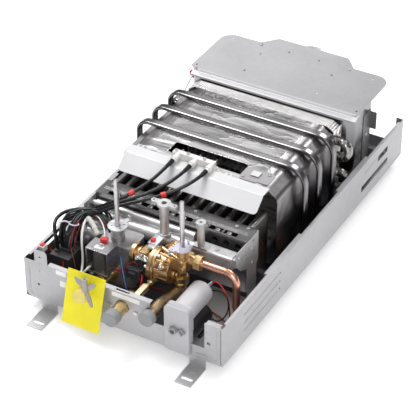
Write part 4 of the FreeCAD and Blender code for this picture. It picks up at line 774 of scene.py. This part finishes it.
def block(name, c, size, mat, body="chassis", bevel=0.8, rot=(0, 0, 0), cuts=()):
    """A small moulded block with rounded edges; c and size in chassis mm; cuts (recesses x0,x1,y0,y1 on its top) is not
    used.
    """
    bm = bmesh.new()
    bmesh.ops.create_cube(bm, size=1.0)
    bmesh.ops.scale(bm, vec=Vector([v / 1000.0 for v in size]), verts=bm.verts)
    bmesh.ops.bevel(bm, geom=list(bm.edges), offset=bevel / 1000.0, segments=3, profile=0.7, affect="EDGES")
    mt = Matrix.Translation(P(*c)) @ Matrix.Rotation(rot[2], 4, "Z") @ Matrix.Rotation(rot[1], 4, "Y") @ Matrix.Rotation(rot[0], 4, "X")
    bmesh.ops.transform(bm, matrix=mt, verts=bm.verts)
    return new_obj(name, bm, mat, body, False)


def sheet_label(name, o, u, v, w, h, mat, body="chassis", r=0.8, t=0.12, holes=()):
    """A thin rounded label: o is its middle, u and v its directions, w and h its size in mm."""
    u, v = Vector(u).normalized(), Vector(v).normalized()
    n = u.cross(v).normalized()
    c = P(*o)
    pts = []
    for sx, sy, a0 in ((1, 1, 0), (-1, 1, 90), (-1, -1, 180), (1, -1, 270)):
        for k in range(5):
            a = math.radians(a0 + 22.5 * k)
            pts.append((sx * (w / 2 - r) + r * math.cos(a), sy * (h / 2 - r) + r * math.sin(a)))
    bm = bmesh.new()
    lo = [bm.verts.new(c + (u * a + v * b - n * 0.02) / 1000.0) for a, b in pts]
    hi = [bm.verts.new(c + (u * a + v * b + n * t) / 1000.0) for a, b in pts]
    k = len(pts)
    bm.faces.new(list(reversed(lo)))
    bm.faces.new(hi)
    for i in range(k):
        bm.faces.new((lo[i], lo[(i + 1) % k], hi[(i + 1) % k], hi[i]))
    bmesh.ops.recalc_face_normals(bm, faces=bm.faces)
    return new_obj(name, bm, mat, body, False)


def crumple(name, c, rad, mat, seed, body="chassis", amp=0.35):
    """A knob of creased foil."""
    rnd = random.Random(seed)
    bm = bmesh.new()
    bmesh.ops.create_icosphere(bm, subdivisions=3, radius=1.0)
    cuts = []
    for _ in range(26):
        d = Vector((rnd.uniform(-1, 1), rnd.uniform(-1, 1), rnd.uniform(-1, 1))).normalized()
        cuts.append((d, 1.0 - rnd.uniform(0.08, amp)))
    for vtx in bm.verts:
        q = vtx.co.copy()
        for d, h in cuts:
            e = q.dot(d) - h
            if e > 0:
                q -= d * e
        q *= 1.0 + rnd.uniform(-0.03, 0.03)
        vtx.co = q
    bmesh.ops.scale(bm, vec=Vector([v / 1000.0 for v in rad]), verts=bm.verts)
    bmesh.ops.translate(bm, vec=P(*c), verts=bm.verts)
    return new_obj(name, bm, mat, body, False)


# ---------------------------------------------------------------- ignition leads
LEADS = {
    "lead_a": [(-40, 223.95, 164.4), (-40, 206, 164.4), (-50, 178, 152), (-66, 153, 141), (-85, 132, 131), (-105, 120, 120), (-128, 112, 111),
               (-147, 104, 109), (-160, 90, 107), (-163, 72, 104), (-156, 58, 99), (-149.5, 52, 86), (-148.5, 54, 65.05)],
    "lead_b": [(-9, 223.95, 164.4), (-9, 205, 164.4), (-26, 176, 151), (-50, 150, 141), (-80, 127, 131), (-102, 114, 119.5), (-126, 106, 109),
               (-145, 95, 105), (-153, 82, 101), (-152, 70, 94), (-148.5, 66, 80), (-148.5, 66, 65.05)],
    "lead_c": [(20, 223.95, 164.4), (20, 203, 164.4), (-4, 172, 151), (-36, 144, 142), (-74, 121, 131.5), (-99, 107.5, 119.5), (-120, 99, 109),
               (-131, 90, 98), (-131, 86, 82), (-131, 86, 66.05)],
}
lead_obs = [cord_curve(k, v, 2.9, m_lead) for k, v in LEADS.items()]
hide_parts("ignition_leads")

m_red = plastic("red_sleeve", (0.66, 0.030, 0.025), 0.38, 0.8)
m_wred = plastic("wire_red", (0.42, 0.018, 0.018), 0.32, 0.6)
m_wdkred = plastic("wire_dark_red", (0.20, 0.010, 0.020), 0.34, 0.6)
m_wblue = plastic("wire_blue", (0.06, 0.17, 0.45), 0.32, 0.6)
m_wsky = plastic("connector_sky", (0.30, 0.55, 0.70), 0.36, 0.6)
m_wblack = plastic("wire_black", (0.008, 0.008, 0.009), 0.30, 0.6, spec=0.40, edge_gain=0.0)
m_wgreen = plastic("wire_dark_green", (0.007, 0.016, 0.015), 0.30, 0.6, spec=0.40, edge_gain=0.0)
m_wbrown = plastic("wire_brown", (0.13, 0.045, 0.015), 0.36, 0.6)
m_wwhite = plastic("wire_white", (0.70, 0.69, 0.68), 0.40, 0.6)
m_ivory = plastic("ivory_boot", (0.50, 0.485, 0.45), 0.42, 0.8, sub=0.1)
m_tie = plastic("pale_tie", (0.62, 0.58, 0.68), 0.36, 0.6)
m_boot = plastic("clear_boot", (0.52, 0.52, 0.52), 0.25, 0.6, coat=0.4)

for k, (nm, fr) in enumerate((("lead_a", 0.305), ("lead_c", 0.298))):
    pts = spline_pts(LEADS[nm])
    sleeve("lead_marker_%d" % k, pts, fr, fr + 0.034, 4.6, m_red)
for k, nm in enumerate(("lead_a", "lead_b", "lead_c")):
    pts = spline_pts(LEADS[nm])
    n = 12
    seg = part_of(pts, 0.0, 0.052, n)
    tube("lead_boot_%d" % k, seg, [4.0 - 0.7 * i / (n - 1) for i in range(n)], m_lead)

WIRES = {
    "wire_valve": ([(-128, 88, 66.05), (-128, 92, 82), (-125, 97, 98), (-118, 92, 108), (-114, 78, 108), (-109, 64, 99), (-103, 54, 85), (-99.5, 50, 70),
                    (-97, 44, 55), (-92, 31, 50), (-84, 26, 60), (-77.5, 30, 69), (-77.5, 35.95, 69)], 1.9, m_wwhite),
    "wire_switch": ([(3.2, 56, 70), (6.5, 51, 67), (7, 46, 58), (5, 44, 44), (0, 41, 27), (-14, 31, 9), (-40, 22, 4), (-80, 21, 4), (-112, 24, 12),
                     (-128, 30, 32), (-130, 39.95, 54)], 1.5, m_wred),
    "wire_batt_red": ([(110.5, 74.5, 79.0), (113, 79.5, 82), (119, 80, 85.5), (127, 78.5, 84), (135, 77.5, 75), (141.5, 77, 62), (144, 77, 42), (144.5, 77, 18),
                       (140, 82, 5), (122, 94, 4.2), (92, 102, 4.2), (62, 106, 4.2), (30, 108, 4.2), (-6, 107, 4.2), (-50, 108.5, 4.2), (-86, 107, 4.4), (-103, 100, 8),
                       (-108, 88, 20), (-119.95, 88, 25)], 1.2, m_wred),
    "wire_batt_black": ([(101, 74.4, 70), (110, 78.5, 66), (122, 78.5, 70), (135, 76, 72), (143.2, 74.5, 62), (143.5, 74.5, 45), (138, 75, 28), (128, 76, 14),
                         (119, 76.5, 11), (110.5, 74.3, 17)], 1.1, m_wblack),
    "wire_blue": ([(-41, 66.0, 82), (-38, 61.5, 83.5), (-32, 55, 76), (-27, 50, 66), (-21, 45, 53), (-15, 41, 40), (-12, 38, 22), (-16, 36, 7), (-34, 35, 3.4),
                   (-70, 36, 3.4), (-100, 40, 5), (-112, 48, 12), (-119.95, 52, 16)], 1.1, m_wblue),
    "wire_coil_red": ([(-44.9, 52, 67), (-39, 51, 64), (-32, 52, 66), (-26, 55, 74), (-19, 58.5, 82.5), (-12, 59.5, 86), (-7.5, 60, 84), (-7, 60.2, 79.4)], 1.0, m_wdkred),
    "wire_coil_red_2": ([(-44.9, 57, 64), (-38, 56, 58), (-31, 55, 60), (-27, 56, 67), (-23, 57.5, 71), (-21.9, 57.5, 71)], 1.0, m_wred),
    "wire_safety_white": ([(-131, 76, 66), (-131, 84, 84), (-129, 98, 101), (-120, 107, 109), (-104, 103, 111.5), (-90, 92.5, 112), (-77, 79, 111.5), (-69.5, 69, 109.5),
                           (-67.2, 63, 106.5)], 1.1, m_wwhite),
    "wire_safety_black": ([(-134, 72, 61), (-134, 80, 84), (-131, 100, 104), (-120, 111, 112), (-101, 107, 115), (-86, 99, 115), (-77, 92, 109), (-74, 89, 99.9)],
                          1.7, m_wblack),
    "wire_safety_dkred": ([(-128, 70, 61), (-128, 78, 84), (-127, 95, 101), (-119, 103, 107.5), (-103, 101, 108.5), (-91, 100, 107), (-82, 98, 99), (-78, 96, 92),
                           (-79.9, 94, 88)], 1.2, m_wdkred),
    "wire_ctrl_black": ([(-141, 60, 65.9), (-141.5, 58, 78), (-137, 62, 92), (-136, 78, 104), (-137, 92, 108), (-131, 105, 110), (-114, 112, 113), (-98, 112, 118), (-88, 114, 114),
                         (-83, 112, 100), (-80.1, 104, 93)], 1.6, m_wblack),
    "wire_ctrl_green": ([(-137.5, 60, 65.9), (-137, 57, 78), (-133, 62, 92), (-132.5, 77, 103), (-134, 91, 107), (-127, 104, 112), (-112, 108, 116), (-98, 110, 114),
                         (-90, 107, 102), (-86, 104, 92)], 1.6, m_wgreen),
    "wire_ctrl_green_2": ([(-134, 60, 65.9), (-133, 58, 80), (-130, 64, 95), (-130, 78, 105), (-131, 90, 109), (-124, 102, 113), (-110, 107, 112), (-99, 106, 104),
                           (-92, 104, 96)], 1.5, m_wgreen),
    "wire_ctrl_loop": ([(-144.5, 60, 65.9), (-146, 58, 80), (-147, 60, 95), (-150, 72, 104), (-151, 88, 109), (-141, 99, 112), (-126, 108, 114), (-108, 113, 117), (-97, 118, 112),
                        (-92, 116, 98)], 1.9, m_wblack),
    "wire_ctrl_dkred": ([(-130.5, 60, 65.9), (-128.5, 59, 76), (-127, 62, 90), (-128, 72, 101), (-128, 86, 105)], 1.4, m_wdkred),
    "wire_ctrl_brown": ([(-127.5, 60, 65.9), (-125, 56, 72), (-119, 50, 66), (-112, 45, 52), (-107, 42, 36), (-106, 44, 14), (-106, 52, 4), (-102, 70, 3.2)], 1.0, m_wbrown),
    "wire_sensor_lead": ([(-155.6, 92, 58), (-160, 96, 66), (-166, 106, 66), (-169.5, 130, 60), (-171, 170, 56), (-171, 230, 56), (-170.5, 300, 56), (-170.5, 380, 60),
                          (-170.5, 440, 74), (-168, 480, 110), (-163, 494, 132), (-159.2, 498, 138)], 1.1, m_wwhite),
}
wire_obs = [cord_curve(k, p, r, mt) for k, (p, r, mt) in WIRES.items()]
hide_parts("wire_harness")
block("control_plug", (-136, 60, 63.6), (21, 8.5, 5.6), m_switch, bevel=0.7)
block("wall_plug", (-165.8, 38, 70.5), (10.5, 11, 9.5), m_wwhite, bevel=0.9)
block("wall_plug_cap", (-165.8, 38, 76.2), (6.0, 7.5, 2.6), m_red, bevel=0.6)
cord_curve("wall_plug_wire_a", [(-163, 43.4, 70), (-163, 47.5, 70), (-162, 50, 63), (-159, 50, 57), (-155.1, 50, 55)], 1.1, m_wdkred)
cord_curve("wall_plug_wire_b", [(-167, 43.4, 70), (-167, 48, 70), (-165, 54, 61), (-160, 55, 54), (-155.1, 54, 52)], 1.1, m_wred)
# the bundle's tie with its tail
ring = [P(-132 + 8.0 * math.cos(a), 77 + 6.2 * math.sin(a), 103.5 - 1.5 * math.sin(a)) for a in [2 * math.pi * k / 36 for k in range(37)]]
tube("bundle_tie", ring, [1.0] * 37, m_tie, seg=10, squash=1.0)
tube("bundle_tie_tail", spline_pts([(-139, 74, 105), (-142, 72, 107.5), (-146, 68, 109), (-150, 63, 108)], 8), [1.3] * 17, m_tie, seg=10)
# ivory boots behind the solenoid
bt = spline_pts([(-114, 90, 112), (-107, 87, 112), (-98, 81, 110), (-90, 75, 107), (-84, 72, 102)], 8)
tube("ivory_boot_a", bt, [4.1 + 0.4 * math.sin(i * 0.9) for i in range(len(bt))], m_ivory)
# red plug on the solenoid yoke
block("coil_plug", (-66.0, 61.5, 107.0), (12.0, 7.5, 5.8), m_red, bevel=1.0, rot=(0, 0, 0.35))
block("coil_plug_tip", (-61.6, 62.4, 105.6), (4.6, 4.8, 3.2), m_wwhite, bevel=0.7, rot=(0, 0, 0.35))
# foil tape wound round the switch wires, red plugs beside it
m_crumple = foil("foil_tape", (0.84, 0.84, 0.84), 0.12, 0.4, 1.5, dark=0.5, scale=3.0)
crumple("foil_tape_knot", (3, 62.5, 96.5), (11.5, 6.5, 8.0), m_crumple, 5)
crumple("foil_tape_tail", (-9, 62.0, 93.0), (6.5, 4.5, 5.0), m_crumple, 9)
block("arm_plug", (2.2, 93.0, 111.2), (6.4, 6.4, 5.4), m_red, bevel=1.4)
block("arm_tab", (9.0, 82.0, 106.6), (17.0, 8.0, 4.6), m_boot, bevel=1.0, rot=(0, 0, 0.15))
sheet_label("arm_face", (7.4, 100.0, 109.05), (1, 0, 0), (0, 1, 0), 9.0, 24.0, m_label, r=0.6)
# cast ribs, bosses and screws on the water valve
for k, deg in enumerate((96, 128, 160, 192)):
    a = math.radians(deg)
    yy, zz = 78.0 + 23.6 * math.cos(a), 82.0 + 23.6 * math.sin(a)
    block("valve_rib_%d" % k, (35.5, yy, zz), (23.0, 3.0, 4.6), m_forged, bevel=0.9, rot=(a - math.pi / 2, 0, 0))
a = math.radians(143)
dv = Vector((0, math.cos(a), math.sin(a)))
c0 = Vector((36.5, 78.0, 82.0))
tube("valve_boss", [P(*(c0 + dv * t)) for t in (21.0, 24.0, 27.2, 28.4)], [7.2, 6.6, 6.2, 5.4], m_forged, seg=28)
tube("valve_boss_screw", [P(*(c0 + dv * t)) for t in (28.0, 30.6, 31.4)], [3.6, 3.6, 3.0], m_screw, seg=6)
c1 = Vector((26.5, 78.0, 82.0)) + Vector((0, math.cos(math.radians(113)), math.sin(math.radians(113)))) * 24.0
tube("valve_top_screw", [c for c in (P(c1.x, c1.y, c1.z - 1.0), P(c1.x, c1.y, c1.z + 3.6), P(c1.x, c1.y, c1.z + 4.6))], [3.4, 3.4, 2.4], m_screw, seg=20)
tube("valve_face_boss", [P(47.0, 78.0, 74.0), P(50.6, 78.0, 74.0), P(51.4, 78.0, 74.0)], [10.5, 9.6, 8.8], m_forged, seg=36)
tube("valve_face_plug", [P(51.0, 78.0, 74.0), P(53.6, 78.0, 74.0), P(54.2, 78.0, 74.0)], [5.6, 5.6, 4.9], m_brass, seg=6)
# battery connector
bc = [P(108.0, 73.9, 77.0), P(109.4, 75.6, 78.3), P(111.6, 78.4, 80.6), P(113.0, 80.0, 82.2)]
tube("battery_plug", bc, [1.8, 2.3, 2.3, 1.7], m_wsky, seg=16)

# ---------------------------------------------------------------- blank labels and slots
sheet_label("label_end_a", (-107.2, -0.02, 67.3), (1, 0, 0), (0, 0, 1), 18.5, 8.6, m_label)
sheet_label("label_end_b", (-104.6, -0.02, 47.4), (1, 0, 0), (0, 0, 1), 11.0, 11.5, m_label)
sheet_label("label_lip", (8.5, -0.02, 66.0), (1, 0, 0), (0, 0, 1), 49.0, 8.6, m_label)
sheet_label("corner_seam", (171.4, -0.02, 37.0), (1, 0, 0), (0, 0, 1), 0.8, 66.0, m_slot, r=0.3)
# Painted shade: thin dark strips mark the press lines of the brace strip, where shade falls.
m_press_line_shade = sheet_metal("press_line_shade", (0.20, 0.20, 0.205), 0.5, 0.5)
sheet_label("brace_line_a", (9.0, 470.6, 165.2), (1, 0, 0), (0, 1, 0), 286.0, 0.9, m_press_line_shade, r=0.4, t=0.05)
sheet_label("brace_line_b", (9.0, 477.6, 165.2), (1, 0, 0), (0, 1, 0), 286.0, 0.8, m_press_line_shade, r=0.4, t=0.05)
sheet_label("label_coil", (-65.0, 45.5, 104.02), (1, 0.12, 0), (-0.12, 1, 0), 15.0, 8.5, m_label)
m_label_dull = plastic("dull_label", (0.60, 0.60, 0.60), 0.40, 0.3, var=0.06)
sheet_label("label_access", (88.0, 262.5, 160.0), (1, 0, 0), (0, 1, 0), 15.0, 13.5, m_label_dull)

# ---------------------------------------------------------------- floor
fm = M("floor")
fm.b.inputs["Base Color"].default_value = (0.92, 0.92, 0.92, 1)
fm.set(Roughness=0.9)
fm.b.inputs["Emission Color"].default_value = (1, 1, 1, 1)
fm.b.inputs["Emission Strength"].default_value = 0.25
bm = bmesh.new()
s = 8.0
vs = [bm.verts.new((x, y, -0.0004)) for x, y in ((-s, -s), (s, -s), (s, s), (-s, s))]
bm.faces.new(vs)
me = bpy.data.meshes.new("floor")
bm.to_mesh(me)
bm.free()
floor = bpy.data.objects.new("floor", me)
scene.collection.objects.link(floor)
me.materials.append(fm.m)
